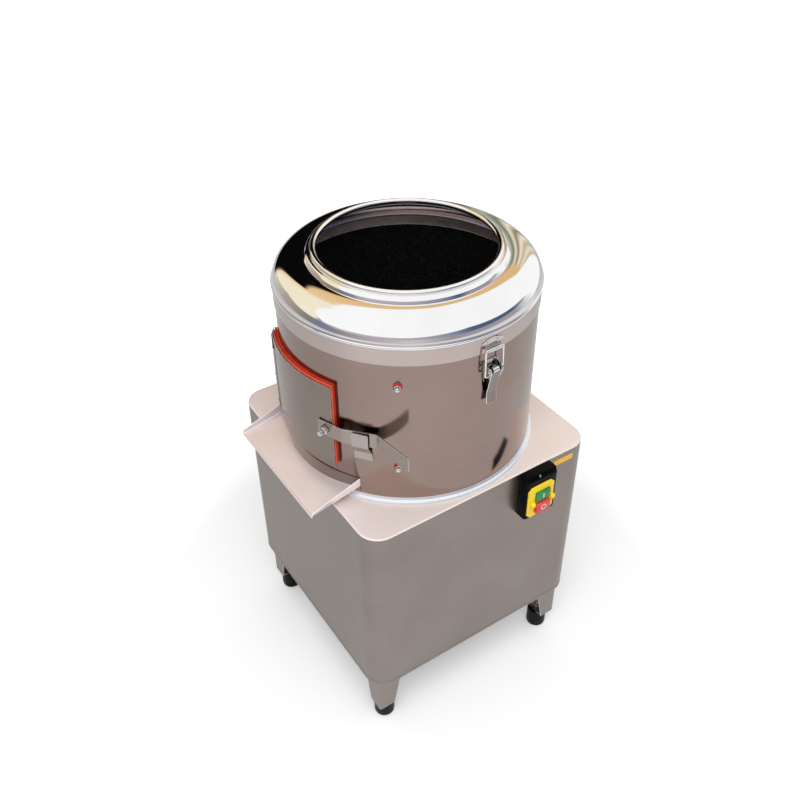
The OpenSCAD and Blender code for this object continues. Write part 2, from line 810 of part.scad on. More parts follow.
module door_gasket() {
    window_a = opening_half_a + asin(lap / drum_r);
    color(red_rubber) difference() {
        band(gasket_in, gasket_out, -gasket_half_a, gasket_half_a, gasket_z[0], gasket_z[1]);
        band(gasket_in - lap, gasket_out + lap, -window_a, window_a,
            drum_opening_z[0] - lap, drum_opening_z[1] + lap);
        at_drum(pivot_a, pivot_z) radial_rod(gasket_in - lap, gasket_out + lap, pivot_d / 2 + 2);
    }
}

// One hinge knuckle, bored for the pin; i counts from the bottom
module knuckle(i) {
    translate([hinge_pos[0], hinge_pos[1], hinge_low + i * knuckle_h + gap / 2])
        cylinder(h = knuckle_h - gap, d = knuckle_d);
}

module pin_bore() {
    translate([hinge_pos[0], hinge_pos[1], hinge_low - lap])
        cylinder(h = hinge_len + 2 * lap, d = hinge_pin_d + 2 * run);
}

module hinge_fixed_leaf() {
    leaf_far_a = hinge_a - 5;
    web_a = asin(leaf_t / drum_r);
    web_in = 1;
    color(bright) difference() {
        union() {
            band(drum_r, drum_r + leaf_t, leaf_far_a, hinge_a - 2 * web_a, hinge_low, hinge_low + hinge_len);
            for (i = [0, 2]) {
                knuckle(i);
                band(drum_r, hinge_r - knuckle_d / 3, hinge_a - 3 * web_a, hinge_a - web_a,
                    hinge_low + i * knuckle_h + web_in, hinge_low + (i + 1) * knuckle_h - web_in);
            }
        }
        pin_bore();
    }
}

module hinge_door_leaf() {
    leaf_far_a = -door_half_a + 6;
    reach_a = asin(knuckle_d / 2 / hinge_r) + 0.4;
    color(bright) difference() {
        union() {
            band(door_out, door_out + leaf_t, hinge_a, leaf_far_a, hinge_low, hinge_low + hinge_len);
            knuckle(1);
        }
        // room for the two knuckles of the fixed leaf
        for (i = [0, 2]) band(drum_r, door_out + 2 * knuckle_d, hinge_a - 2, hinge_a + reach_a,
            hinge_low + i * knuckle_h - gap / 2, hinge_low + (i + 1) * knuckle_h + gap / 2);
        pin_bore();
    }
}

module hinge_pin() {
    head_h = 1.5;
    color(bright) translate([hinge_pos[0], hinge_pos[1], hinge_low]) {
        cylinder(h = hinge_len, d = hinge_pin_d);
        for (z = [-head_h, hinge_len]) translate([0, 0, z]) cylinder(h = head_h, d = knuckle_d - 1);
    }
}

/* ---------- door latch ---------- */

bar_in = door_out + 1;
bar_out = bar_in + bar_t;
bar_end = 15;
bar_flat = 29;
bend_a = 44;
knee_in = drum_r + 7.5;
tail_heading = 8;

// A point at angle a and radius r from the drum's axis
function on_drum(a, r) = [r * sin(a), drum_y - r * cos(a)];

// A point in the flat face that the pivot bolt clamps, t along it and r from the drum's axis
function on_face(t, r) = on_drum(pivot_a, r) + t * [cos(pivot_a), sin(pivot_a)];

// Flat at the pivot, then a straight run past the keeper, then a straight tail
module latch_bar() {
    tail = tail_len * [cos(tail_heading), sin(tail_heading)];
    knee = on_drum(bend_a, knee_in);
    knee_out = on_drum(bend_a - 0.3, knee_in + bar_t);
    color(bright) difference() {
        translate([0, 0, base_h + bar_low]) linear_extrude(height = bar_w) polygon([
            on_face(-bar_end, bar_in), on_face(bar_flat, bar_in), knee, knee + tail,
            knee_out + tail, knee_out, on_face(bar_flat, bar_out), on_face(-bar_end, bar_out)]);
        at_drum(pivot_a, pivot_z) radial_rod(bar_in - lap, bar_out + 2 * lap, pivot_d / 2 + run);
    }
}

// Bolt through the door with its spacer, the nut and the thread's end
module latch_pivot() {
    head_t = 2;
    nut_t = 6;
    nut_r = 6.5;
    sleeve_t = 9;
    color(bright) at_drum(pivot_a, pivot_z) {
        radial_rod(door_in - head_t, bar_out + gap + nut_t + sleeve_t, pivot_d / 2);
        radial_rod(door_in - head_t, door_in, pivot_d / 2 + 1.5);
        radial_rod(door_out, bar_in - gap, pivot_d / 2 + 3);
        radial_rod(bar_out + gap, bar_out + gap + nut_t, nut_r);
        radial_rod(bar_out + gap + nut_t, bar_out + gap + nut_t + sleeve_t - 3, pivot_d / 2 + 0.7);
    }
}

keeper_a = 37.5;
keeper_t = 2;

// Hook that stands off the drum, open at its top, with the bar lying inside it
module keeper() {
    front = bar_out;
    weld_z = bar_low - 18;
    seat_z = bar_low;
    lip_z = bar_low + bar_w - 1;
    foot_z = weld_z - 15;
    color(steel) at_drum(keeper_a, base_h) rotate([90, 0, 90]) translate([0, 0, -keeper_w / 2])
        linear_extrude(height = keeper_w) polygon([
            [-drum_r, foot_z], [-drum_r - keeper_t, foot_z], [-drum_r - keeper_t, weld_z - 1],
            [-front - keeper_t, seat_z - 1], [-front - keeper_t, lip_z],
            [-front, lip_z], [-front, seat_z], [-drum_r, weld_z]]);
}

/* ---------- chute ---------- */

chute_end_y = drum_y - chute_reach;
chute_back_y = drum_y - drum_r * cos(asin((chute_w / 2 + chute_t) / drum_r)) + 2;
chute_slope = atan2(chute_rise, chute_reach - drum_r + 14);
lip_low_h = 7;
lip_high_h = 17;
flange_low = foot_bead_h + 3;
flange_top = door_low - 13;

// Outline of a side lip in the plane across the chute: y from the outer edge inwards, then height
module chute_lip_outline() {
    len = (chute_back_y - chute_end_y) / cos(chute_slope);
    polygon([[0, 0], [len, 0], [len, lip_high_h], [0, lip_low_h]]);
}

module chute() {
    len = (chute_back_y - chute_end_y) / cos(chute_slope);
    hem_r = 1.6;
    flange_a = asin((chute_w / 2 + chute_t) / drum_r) + 1.5;
    color(bright) difference() {
        union() {
            translate([0, chute_end_y, base_h + chute_end_z]) rotate([chute_slope, 0, 0]) {
                translate([-chute_w / 2 - chute_t, 0, -chute_t]) cube([chute_w + 2 * chute_t, len, chute_t]);
                for (x = [-chute_w / 2 - chute_t, chute_w / 2])
                    translate([x, 0, -chute_t]) rotate([90, 0, 90]) linear_extrude(height = chute_t)
                        chute_lip_outline();
                translate([0, 0, -chute_t / 2]) cross_rod(chute_w + 2 * chute_t, hem_r);
            }
            // upright flange along the drum wall
            band(drum_r - lap, drum_r + chute_t, -flange_a, flange_a,
                base_h + flange_low, base_h + flange_top);
        }
        translate([0, drum_y, base_h - lap]) cylinder(h = drum_h, r = drum_r);
    }
}

/* ---------- cover ---------- */

skirt_in = drum_r + 0.4;
skirt_out = skirt_in + cover_t;
skirt_low = drum_top - skirt_drop;
skirt_top = drum_top + 3;
seat_w = 10;
bead_r = 2.4;
rim_top = drum_top + cover_h;
neck_foot_r = neck_r + 19;
neck_foot_z = rim_top - 14;
bead_z = skirt_top + bead_r - 0.5;
dome_low = bead_z + bead_r - 0.8;
dome_steps = 16;

// Quarter of an ellipse from the bead up to the foot of the neck
function dome_line(inset) = [for (i = [0 : dome_steps])
    let (t = 90 * i / dome_steps)
        [neck_foot_r - 2 + (skirt_out - neck_foot_r + 1.4 - inset) * cos(t),
         dome_low + (neck_foot_z - dome_low - inset) * sin(t)]];

module cover_skirt() {
    color([0.76, 0.72, 0.69]) {
        ring(skirt_in, skirt_out, skirt_low, skirt_top);
        ring(drum_in - seat_w, skirt_in, drum_top + 0.2, drum_top + 0.2 + cover_t);
    }
}

module cover_dome() {
    roll_c = [neck_r + rim_roll_r, rim_top - rim_roll_r];
    neck_t = 2;
    color(bright) translate([0, drum_y, 0]) rotate_extrude() {
        // shell of the dome
        polygon(concat(dome_line(0), [for (i = [dome_steps : -1 : 0]) dome_line(cover_t)[i]]));
        // bead at the joint with the skirt
        intersection() {
            translate([skirt_out + 1.4 - bead_r, bead_z]) circle(r = bead_r, $fn = 24);
            translate([0, skirt_top]) square([2 * drum_r, 2 * bead_r]);
        }
        // stepped neck up to the rolled rim
        polygon([
            [neck_foot_r - 1, neck_foot_z - cover_t], [neck_foot_r - 1, neck_foot_z],
            [neck_foot_r - 2.5, neck_foot_z + 3], [neck_foot_r - 4.5, neck_foot_z + 6],
            [neck_foot_r - 7, neck_foot_z + 8], [roll_c[0] + rim_roll_r - neck_t, roll_c[1] - 1],
            [roll_c[0], roll_c[1] - 2], [neck_foot_r - 9, neck_foot_z + 5],
            [neck_foot_r - 6, neck_foot_z - cover_t]]);
        translate(roll_c) circle(r = rim_roll_r, $fn = 32);
    }
}

/* ---------- toggle latches ---------- */

toggle_pivot_r = drum_r + 10;
toggle_pivot_z = base_h + toggle_z;
toggle_pin_r = 2;
ear_t = 1.5;
ear_in = lever_w / 2 + gap;
bail_in = ear_in + ear_t + gap;
bail_leg_x = bail_in + bail_d / 2 + 1.8;
bail_r = drum_r + 6.8;
bail_z = drum_top - 17.5;
bail_pivot_r = drum_r + 8;
bail_pivot_z = toggle_pivot_z - 9.5;
lever_t = 1.5;

// Plate riveted to the cover's skirt, ending in an upturned hook
module catch_plate(a) {
    plate_w = 37;
    catch_t = 1.5;
    plate_low = bail_z + 2;
    plate_high = drum_top - 1;
    half_a = asin(plate_w / 2 / skirt_out);
    hook_w = 2 * bail_leg_x - bail_d - 2;
    hook_in = bail_d / 2 + 0.9;
    hook_out = hook_in + catch_t;
    hook_rise = 0.45;
    lip_h = bail_d / 2 + 1 - hook_rise;
    root = bail_r - skirt_out - 0.2;
    rivet_x = 9;
    rivet_r = 2.2;
    rivet_h = 1.4;
    color(bright) {
        band(skirt_out, skirt_out + catch_t, a - half_a, a + half_a, plate_low, plate_high);
        at_drum(a, 0) {
            for (x = [-rivet_x, rivet_x]) translate([x, 0, plate_high - 5])
                radial_rod(skirt_out, skirt_out + catch_t + rivet_h, rivet_r);
            translate([-hook_w / 2, -bail_r, bail_z + hook_rise]) rotate([90, 0, 90])
                linear_extrude(height = hook_w) difference() {
                    union() {
                        translate([-hook_out, 0]) square([root + hook_out, lip_h]);
                        circle(r = hook_out, $fn = 32);
                        translate([0, -hook_out]) square([root, hook_out]);
                    }
                    circle(r = hook_in, $fn = 32);
                    translate([-hook_in, 0]) square([2 * hook_in, 2 * lip_h]);
                }
        }
    }
}

// Base riveted to the drum, with two ears and the lever's pivot pin
module toggle_base(a) {
    base_low = toggle_pivot_z - 24;
    base_high = toggle_pivot_z + 14;
    ear_r = 4.5;
    half_a = asin((ear_in + ear_t) / drum_r);
    color(bright) {
        band(drum_r, drum_r + ear_t, a - half_a, a + half_a, base_low, base_high);
        at_drum(a, toggle_pivot_z) {
            for (x = [-ear_in - ear_t, ear_in]) translate([x, -toggle_pivot_r, 0]) rotate([90, 0, 90])
                linear_extrude(height = ear_t) {
                    circle(r = ear_r);
                    translate([0, -ear_r]) square([toggle_pivot_r - drum_r - 1, 2 * ear_r]);
                }
            translate([0, -toggle_pivot_r, 0]) cross_rod(2 * (ear_in + ear_t), toggle_pin_r);
        }
    }
}

// Lever that hangs from the pin: curled end, flat tongue, flared tip, and two
// side flanges that hold the bail's ends
module toggle_lever(a) {
    barrel_r = 4;
    boss_r = 3.2;
    face_r = toggle_pivot_r + barrel_r;
    tip_r = drum_r + 4;
    bend_z = -lever_len + 18;
    bail_drop = bail_pivot_z - toggle_pivot_z;
    color(bright) at_drum(a, toggle_pivot_z) difference() {
        union() {
            translate([0, -toggle_pivot_r, 0]) cross_rod(lever_w, barrel_r);
            translate([-lever_w / 2, 0, 0]) rotate([90, 0, 90]) {
                linear_extrude(height = lever_w) polygon([
                    [-face_r, 0], [-tip_r - lever_t, bend_z], [-tip_r - lever_t - 2, -lever_len],
                    [-tip_r - 2, -lever_len], [-tip_r, bend_z], [-face_r + lever_t, 0]]);
                for (x = [0, lever_w - lever_t]) translate([0, 0, x]) linear_extrude(height = lever_t) {
                    polygon([
                        [-face_r + 0.5, 0], [-toggle_pivot_r + barrel_r - 1, 0],
                        [-bail_pivot_r + boss_r, bail_drop], [-tip_r - lever_t / 2, bend_z]]);
                    translate([-bail_pivot_r, bail_drop]) circle(r = boss_r);
                }
            }
        }
        translate([0, -toggle_pivot_r, 0]) cross_rod(lever_w + 2 * lap, toggle_pin_r + run);
        translate([0, -bail_pivot_r, bail_drop]) cross_rod(lever_w + 2 * lap, bail_d / 2 + run);
    }
}

// Wire loop that turns in the lever's flanges and reaches up into the catch's hook
module bail(a) {
    r = bail_d / 2;
    bend_r = 2.5;
    rise = bail_z - bail_pivot_z;
    lean = atan2(bail_pivot_r - bail_r, rise);
    leg_len = norm([bail_pivot_r - bail_r, rise]);
    end_in = lever_w / 2 - lever_t - 0.5;
    straight_x = bail_leg_x - bend_r;
    module bend(from) {
        rotate([90, 0, 0]) rotate([0, 0, from]) rotate_extrude(angle = 90)
            translate([bend_r, 0]) circle(r = r, $fn = 24);
    }
    color(bright) at_drum(a, bail_z) translate([0, -bail_r, 0]) rotate([-lean, 0, 0]) {
        cross_rod(2 * straight_x, r);
        translate([straight_x, 0, -bend_r]) bend(0);
        translate([-straight_x, 0, -bend_r]) bend(90);
        translate([-straight_x, 0, bend_r - leg_len]) bend(180);
        translate([straight_x, 0, bend_r - leg_len]) bend(270);
        for (s = [-1, 1]) {
            translate([s * bail_leg_x, 0, bend_r - leg_len]) cylinder(h = leg_len - 2 * bend_r, r = r);
            translate([s * (end_in + straight_x) / 2, 0, -leg_len]) cross_rod(straight_x - end_in, r);
        }
    }
}

/* ---------- switch ---------- */

switch_top = base_h - 2;
switch_low = switch_top - switch_h;
bezel_w = 53;
bezel_h = 64;
bezel_t = 3;
bezel_low = switch_low + 6;
bezel_shift = 3;
bezel_corner = 7;
button_w = 28;
start_h = 19;
stop_h = 21;
start_rise = 3;
stop_rise = 6;
button_gap = 3;
stop_z = bezel_low + 7 + stop_h / 2;
start_z = stop_z + stop_h / 2 + button_gap + start_h / 2;
pocket_depth = button_travel + 6;
face_x = half + switch_depth;

// Block on the switch's front face, centred at height z, from x0 to x1
module face_block(x0, x1, w, z, h) {
    translate([x0, switch_y - w / 2, z - h / 2]) cube([x1 - x0, w, h]);
}

module switch_box() {
    chamfer = 2.5;
    shoulder = 7;
    shoulder_in = 5;
    color(dark) difference() {
        translate([half, switch_y + switch_w / 2, 0]) rotate([90, 0, 0]) linear_extrude(height = switch_w)
            polygon([
                [0, switch_low], [switch_depth - chamfer, switch_low], [switch_depth, switch_low + chamfer],
                [switch_depth, switch_top - shoulder], [switch_depth - shoulder_in, switch_top], [0, switch_top]]);
        face_block(face_x - pocket_depth, face_x + lap, button_w + 2 * gap + 1, stop_z, stop_h + 2 * gap);
        face_block(face_x - pocket_depth, face_x + lap, button_w + 2 * gap + 1, start_z, start_h + 2 * gap);
    }
}

// Plate outline with its four corners cut off
module bezel_outline() {
    long = bezel_h / 2;
    wide = bezel_w / 2;
    c = bezel_corner;
    polygon([
        [-wide + c, -long], [wide - c, -long], [wide, -long + c], [wide, long - c],
        [wide - c, long], [-wide + c, long], [-wide, long - c], [-wide, -long + c]]);
}

module switch_bezel() {
    lug_r = 5;
    lug_t = 5;
    color(yellow) difference() {
        union() {
            translate([face_x, switch_y - bezel_shift, bezel_low + bezel_h / 2]) rotate([90, 0, 90])
                linear_extrude(height = bezel_t) bezel_outline();
            for (s = [-1, 1]) translate([face_x, switch_y + s * (button_w / 2 + 6), stop_z + stop_h / 2])
                rotate([0, 90, 0]) cylinder(h = lug_t + bezel_t, r = lug_r);
        }
        face_block(face_x - lap, face_x + 3 * bezel_t, button_w + 2 * gap, stop_z, stop_h + 2 * gap);
        face_block(face_x - lap, face_x + 3 * bezel_t, button_w + 2 * gap, start_z, start_h + 2 * gap);
    }
}

// Push button that stands out of the bezel, its foot inside the enclosure's pocket
module push_button(z, h, rise) {
    foot = pocket_depth - button_travel - gap;
    face_block(face_x - foot, face_x + bezel_t + rise, button_w, z, h);
}

module start_button() {
    color(green) push_button(start_z, start_h, start_rise);
}

module stop_button() {
    color(stop_red) push_button(stop_z, stop_h, stop_rise);
}

module cable_gland() {
    bore_d = 9;
    cap_len = 14;
    color(dark) translate([gland_x, half, gland_z]) rotate([-90, 0, 0]) difference() {
        union() {
            translate([0, 0, -sheet - 8]) cylinder(h = sheet + 8 + cap_len, d = gland_d);
            cylinder(h = 5, d = 1.5 * gland_d, $fn = 6);
            translate([0, 0, -sheet - 5]) cylinder(h = 5, d = 1.5 * gland_d, $fn = 6);
            translate([0, 0, 5]) cylinder(h = cap_len - 5, d = 1.3 * gland_d);
        }
        translate([0, 0, -sheet - 8 - lap]) cylinder(h = sheet + 8 + cap_len + 2 * lap, d = bore_d);
    }
}

/* ---------- placing ---------- */

// The origin is under the middle of the whole outline: switch and left toggle
// set its width, drain pipe and chute set its depth
reach_right = face_x + bezel_t + stop_rise;
reach_left = toggle_pivot_r + 4;
reach_back = half + drain_reach;
mid_x = (reach_right - reach_left) / 2;
mid_y = (reach_back + chute_end_y) / 2;

module place() {
    translate([-mid_x, -mid_y, 0]) children();
}

place() cabinet_shell();
place() top_plate();
place() rear_panel();
place() panel_screws();
place() cross_frame();
place() leg(-1, -1);  // leg_front_left
place() leg(1, -1);  // leg_front_right
place() leg(-1, 1);  // leg_rear_left
place() leg(1, 1);  // leg_rear_right
place() foot(-1, -1);  // foot_front_left
place() foot(1, -1);  // foot_front_right
place() foot(-1, 1);  // foot_rear_left
place() foot(1, 1);  // foot_rear_right
place() frame_bolts();
place() motor_bracket();
place() motor_housing();
place() motor_stator();
place() motor_fan_cover();
place() terminal_box();
place() motor_rotor();
place() motor_pulley();
place() drive_belt();
place() shaft_pulley();
place() main_shaft();
place() bearing_housing();
place() shaft_bearings();
place() shaft_seal();
place() disc_plate();
place() disc_abrasive();
place() disc_nut();
place() drum_shell();
place() drum_floor();
place() drain_pipe();
place() lining();
place() lining_bolts();
place() lining_washers();
place() door_panel();
place() door_gasket();
place() hinge_fixed_leaf();
place() hinge_door_leaf();
place() hinge_pin();
place() latch_bar();
place() latch_pivot();
place() keeper();
place() chute();
place() cover_skirt();
place() cover_dome();
place() catch_plate(toggle_a);  // catch_right
place() toggle_base(toggle_a);  // toggle_base_right
place() toggle_lever(toggle_a);  // toggle_lever_right
place() bail(toggle_a);  // bail_right
place() catch_plate(-toggle_a);  // catch_left
place() toggle_base(-toggle_a);  // toggle_base_left
place() toggle_lever(-toggle_a);  // toggle_lever_left
place() bail(-toggle_a);  // bail_left
place() switch_box();
place() switch_bezel();
place() start_button();
place() stop_button();
place() cable_gland();
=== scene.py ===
"""Electric potato peeler in stainless steel: its sheet metal, rubber, grit and plastics over the fixed frame.

Shapes are in millimetres in the peeler's own plan: the cabinet's middle is the origin, and its front looks
towards -Y.
"""

import bmesh
import bpy
import numpy as np
from mathutils import Matrix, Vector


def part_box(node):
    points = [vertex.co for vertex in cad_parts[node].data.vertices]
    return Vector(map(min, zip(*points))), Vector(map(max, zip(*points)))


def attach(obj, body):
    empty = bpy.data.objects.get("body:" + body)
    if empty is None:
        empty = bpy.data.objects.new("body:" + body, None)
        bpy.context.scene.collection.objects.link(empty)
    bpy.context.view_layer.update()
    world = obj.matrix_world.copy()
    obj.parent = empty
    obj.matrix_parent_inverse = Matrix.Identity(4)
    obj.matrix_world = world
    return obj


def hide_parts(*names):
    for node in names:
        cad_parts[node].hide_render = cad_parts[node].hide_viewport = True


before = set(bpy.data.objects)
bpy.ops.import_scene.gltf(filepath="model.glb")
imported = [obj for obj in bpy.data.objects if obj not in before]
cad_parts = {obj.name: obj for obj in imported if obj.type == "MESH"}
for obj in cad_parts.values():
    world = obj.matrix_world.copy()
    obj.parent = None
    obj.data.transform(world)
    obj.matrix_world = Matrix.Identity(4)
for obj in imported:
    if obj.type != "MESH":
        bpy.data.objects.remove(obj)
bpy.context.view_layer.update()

# ---------- sizes, millimetres and degrees ----------
MM = 0.001
X, Y, Z = (1, 0, 0), (0, 1, 0), (0, 0, 1)
MERGE = 2e-6                                                        # metres within which two points are one
SHARP, BEVEL_FROM = 32, 40                                          # degrees from which an edge is sharp, bevelled
DRUM_Y = -5.0                                                       # where the drum's axis stands in the plan
disc_low, disc_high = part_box("disc_plate")
PLAN = np.array([(disc_low.x + disc_high.x) / 2 / MM, (disc_low.y + disc_high.y) / 2 / MM - DRUM_Y, 0.0])
HALF, CORNER, TOP, CABINET_LOW = 212.0, 35.0, 480.0, 124.0          # cabinet: half, corner, top, lower edge
DRUM_R, DRUM_WALL, DRUM_TOP = 200.0, 1.5, 760.0                     # drum: outside, wall, upper edge
WINDOW_A, WINDOW_Z = 19.0, (543.0, 667.0)                           # opening of the door: half angle, heights
NECK_R, RIM_TOP, ROLL = 133.0, 816.0, 4.5                           # neck: inside, top, radius of its roll
SKIRT_IN, SKIRT_OUT = 200.4, 201.6                                  # cover's band: inside and outside
SHEET = 1.5                                                         # door, hinge plates, chute, catches and pads
BOLT_ANGLES, BOLT_HEIGHTS = (52.4, 172.4, 292.4), (553, 701)
LEG_FACE, LEG_TIP, SEAT, FOOT_AT = 198.0, 38, 42.0, 176.5           # leg: outer face, tip, seat; foot's middle
DOOR_LOW, DOOR_HIGH, DOOR_A, DOOR_R = 531.0, 682.0, 25.0, 208.8     # door: heights, half angle, outside
SEAL_R = 203                                                        # where the seal's angles become lengths
HINGE_A, HINGE_LOW, HINGE_H = -29.5, 547, 116                       # hinge: angle, foot, height
PIVOT_A, PIVOT_Z, BAR_HALF = 22, 605.5, 12.5                        # latch: bolt's angle, height; half a bar
KEEPER_A = 37.5                                                     # angle at which the keeper stands
CHUTE_HALF, CHUTE_FRONT, CHUTE_LOW, CHUTE_SLOPE = 115.8, -254, 483.2, 11.66     # half, lip, its height, slope
TOGGLE_A, LEVER_PIN = 91.5, (0, 210, 709)                           # clamps: angle, and their levers' pin
KEY_Y, KEY_W = 95, 28                                               # middle and width of both buttons
AMBER = (212.02, 212.3)                                             # back and front of the amber strip


# ---------- geometry helpers ----------
def unit(v):
    """A vector, or rows of them, divided by its own length."""
    v = np.asarray(v, float)
    return v / np.linalg.norm(v, axis=-1, keepdims=True)


def bent(corners, radius, steps=7, closed=False):
    """Line through corners, each rounded by an arc: a quadratic curve weighted by the cosine of half the turn
    is that arc, and it starts radius times the tangent of half the turn before the corner."""
    p = np.asarray(corners, float)
    r = np.broadcast_to(np.asarray(radius, float), len(p))
    if closed:
        middle = (p[:1] + p[-1:]) / 2
        p, r = np.concatenate([middle, p, middle]), np.concatenate([[0], r, [0]])
    out = [p[:1]]
    s = np.linspace(0, 1, steps)[:, None]
    for a, b, c, rad in zip(p[:-2], p[1:-1], p[2:], r[1:-1]):
        u, v = unit(a - b), unit(c - b)
        half = np.arccos(np.clip(-(u @ v), -1, 1)) / 2
        reach, w = rad * np.tan(half), np.cos(half)
        if rad == 0:
            out.append(b[None])
            continue
        top = (1 - s) ** 2 * (b + u * reach) + 2 * s * (1 - s) * w * b + s ** 2 * (b + v * reach)
        out.append(top / ((1 - s) ** 2 + 2 * s * (1 - s) * w + s ** 2))
    if not closed:
        out.append(p[-1:])
    return np.concatenate(out)


def spaced(line, step, closed=False):
    """The same line with points no further apart than step, its own corners kept."""
    p = np.concatenate([line, line[:1]]) if closed else line
    out = []
    for a, b in zip(p[:-1], p[1:]):
        n = max(1, int(np.ceil(np.linalg.norm(b - a) / step)))
        out.append(a + (b - a) * (np.arange(n) / n)[:, None])
    if not closed:
        out.append(p[-1:])
    return np.concatenate(out)


def joined(line):
    """A closed profile: the line with its first point again at its end."""
    line = np.asarray(line, float)
    return np.concatenate([line, line[:1]])


def arc(x, z, across, high, angles):
    """Points on an ellipse about (x, z): its half width times the cosine, its half height times the sine."""
    return np.stack([x + across * np.cos(angles), z + high * np.sin(angles)], 1)


def sweep(first, last, count):
    """Even angles from first to last in degrees, given in radians."""
    return np.radians(np.linspace(first, last, count))


def rectangle(w, h, r, steps=5):
    """Rounded rectangle about the origin, w by h with corner radius r."""
    return bent([[-w / 2, -h / 2], [w / 2, -h / 2], [w / 2, h / 2], [-w / 2, h / 2]], r, steps, closed=True)


def circle(r, n):
    """Circle of n points about the origin: r times the cosine and the sine of even angles."""
    a = np.linspace(0, 2 * np.pi, n, endpoint=False)
    return r * np.stack([np.cos(a), np.sin(a)], 1)


def on_drum(a, r, z):
    """Point at angle a in degrees from the front towards the switch side, at radius r and height z about the
    drum's axis: r times the sine of a along X, and r times its cosine towards the front."""
    a, r, z = np.broadcast_arrays(np.radians(a), r, z)
    return np.stack([r * np.sin(a), DRUM_Y - r * np.cos(a), z], -1)


def outward(a):
    """Direction straight out from the drum's axis at the angle a."""
    return on_drum(a, 1, 0) - (0, DRUM_Y, 0)


def grid(x, y, z):
    """Grid of points from three arrays that are spread over one another."""
    return np.stack(np.broadcast_arrays(x, y, z), -1)


def turned(profile, centre=(0, DRUM_Y, 0), axis=Z, start=X, steps=96):
    """Profile of (radius, height) pairs turned once about an axis: the centre, plus the radius times the cosine
    and sine along two directions square to the axis, plus the height along it."""
    w = unit(axis)
    e1 = unit(np.asarray(start, float) - (np.asarray(start, float) @ w) * w)
    e2 = np.cross(w, e1)
    a = np.linspace(0, 2 * np.pi, steps, endpoint=False)[:, None, None]
    p = np.asarray(profile, float)
    r, h = p[None, :, :1], p[None, :, 1:2]
    return np.asarray(centre, float) + r * (np.cos(a) * e1 + np.sin(a) * e2) + h * w, True, False


def loft(sections):
    """Solid through a stack of closed outlines, whose two end outlines run in to their own middle points."""
    s = np.asarray(sections, float)
    low, high = (np.repeat(s[i].mean(0)[None, None], s.shape[1], 1) for i in (0, -1))
    return np.concatenate([low, s, high]), False, True


def carried(section, path, side, grow):
    """Cross-section carried along a path: its first number lies across the path, its second along side, and
    grow scales both at each point of the path."""
    path, side = np.asarray(path, float), unit(side)
    ahead = unit(np.gradient(path, axis=0))
    across = unit(np.cross(ahead, side))
    a = section[None, :, 0, None] * grow[:, None, :1] * across[:, None]
    b = section[None, :, 1, None] * grow[:, None, 1:] * side
    return loft(path[:, None] + a + b)


def inward_of(outline):
    """Normals of a closed outline, towards its inside: the chord between a point's neighbours, turned left."""
    run = np.roll(outline, -1, 0) - np.roll(outline, 1, 0)
    return unit(np.stack([-run[:, 1], run[:, 0]], 1))


def slab(outline, low, high, edge, origin, e1, e2):
    """Solid over an outline from height low to high. Its rims are quarter circles: the outline is drawn in
    along its own normals by edge less its sine while it rises by edge less its cosine."""
    e1, e2 = unit(e1), unit(e2)
    e3 = np.cross(e1, e2)
    inward = inward_of(outline)
    q = np.linspace(0, np.pi / 2, 4)
    draw = edge * (1 - np.sin(q))
    rise = edge * (1 - np.cos(q))
    draws = np.concatenate([draw, draw[::-1]])
    heights = np.concatenate([low + rise, (high - rise)[::-1]])
    flat = outline[None] + draws[:, None, None] * inward
    lifted = heights[:, None, None] * e3
    return loft(np.asarray(origin, float) + flat[..., :1] * e1 + flat[..., 1:] * e2 + lifted)


def thick(points, t, out=0.0):
    """Sheet over a grid: the grid moved out along its own normals, which are the cross product of its two
    gradients, its back face t behind it, and the four rims between."""
    points = np.asarray(points, float)
    normal = unit(np.cross(np.gradient(points, axis=0), np.gradient(points, axis=1)))
    face, back = points + out * normal, points + (out - t) * normal
    ends = [np.stack([face[i], back[i]]) for i in (0, -1)]
    return [(np.concatenate([face, back[:, ::-1]], 1), False, True),
            (ends[0], False, False), (ends[1], False, False)]


def corner_in(d, r):
    """How far a rounded corner draws a side in at the distance d from the end: r less the root of r squared
    less (r-d) squared."""
    d = np.clip(r - np.asarray(d, float), 0, r)
    return r - np.sqrt(r * r - d * d)


def end_in(s, low, high, r):
    """How far the corners at both ends of a side, which runs from low to high, draw it in at s."""
    return corner_in(np.minimum(s - low, high - s), r)


def stations(length, r, n):
    """Distances along a length with its last r at each end closely spaced, as the cosine of even angles."""
    q = r * (1 - np.cos(np.linspace(0, np.pi / 2, 6)))
    return np.unique(np.concatenate([q, np.linspace(r, length - r, n), length - q]))


def run_of(path):
    """Distance run along a path at each of its points: the sum of the steps before it."""
    return np.concatenate([[0], np.cumsum(np.linalg.norm(np.diff(path, axis=0), axis=1))])


def along(path, s):
    """Points at the distances s along a path, straight between its own."""
    return np.stack([np.interp(s, run_of(path), path[:, k]) for k in range(path.shape[1])], 1)


def at_side(grids, a):
    """Grids whose points are (across, out from the drum's axis, height) at the angle a, brought to the plan by
    a turn through a about the drum's axis."""
    a = np.radians(a)
    turn = np.array([[np.cos(a), np.sin(a), 0], [np.sin(a), -np.cos(a), 0], [0, 0, 1]])
    return [(points @ turn + (0, DRUM_Y, 0), rows, columns) for points, rows, columns in grids]


def nut(width, low, high, chamfer, origin, axis, start):
    """Hexagonal nut, width across its flats, so its corners lie at the width over the root of three; chamfer
    draws its rims in."""
    w = unit(axis)
    e1 = unit(np.asarray(start, float) - (np.asarray(start, float) @ w) * w)
    a = np.radians(np.arange(6) * 60)
    corners = width / np.sqrt(3) * np.stack([np.cos(a), np.sin(a)], 1)
    hexagon = bent(corners, width * 0.05, 4, closed=True)
    return slab(hexagon, low, high, chamfer, origin, e1, np.cross(w, e1))


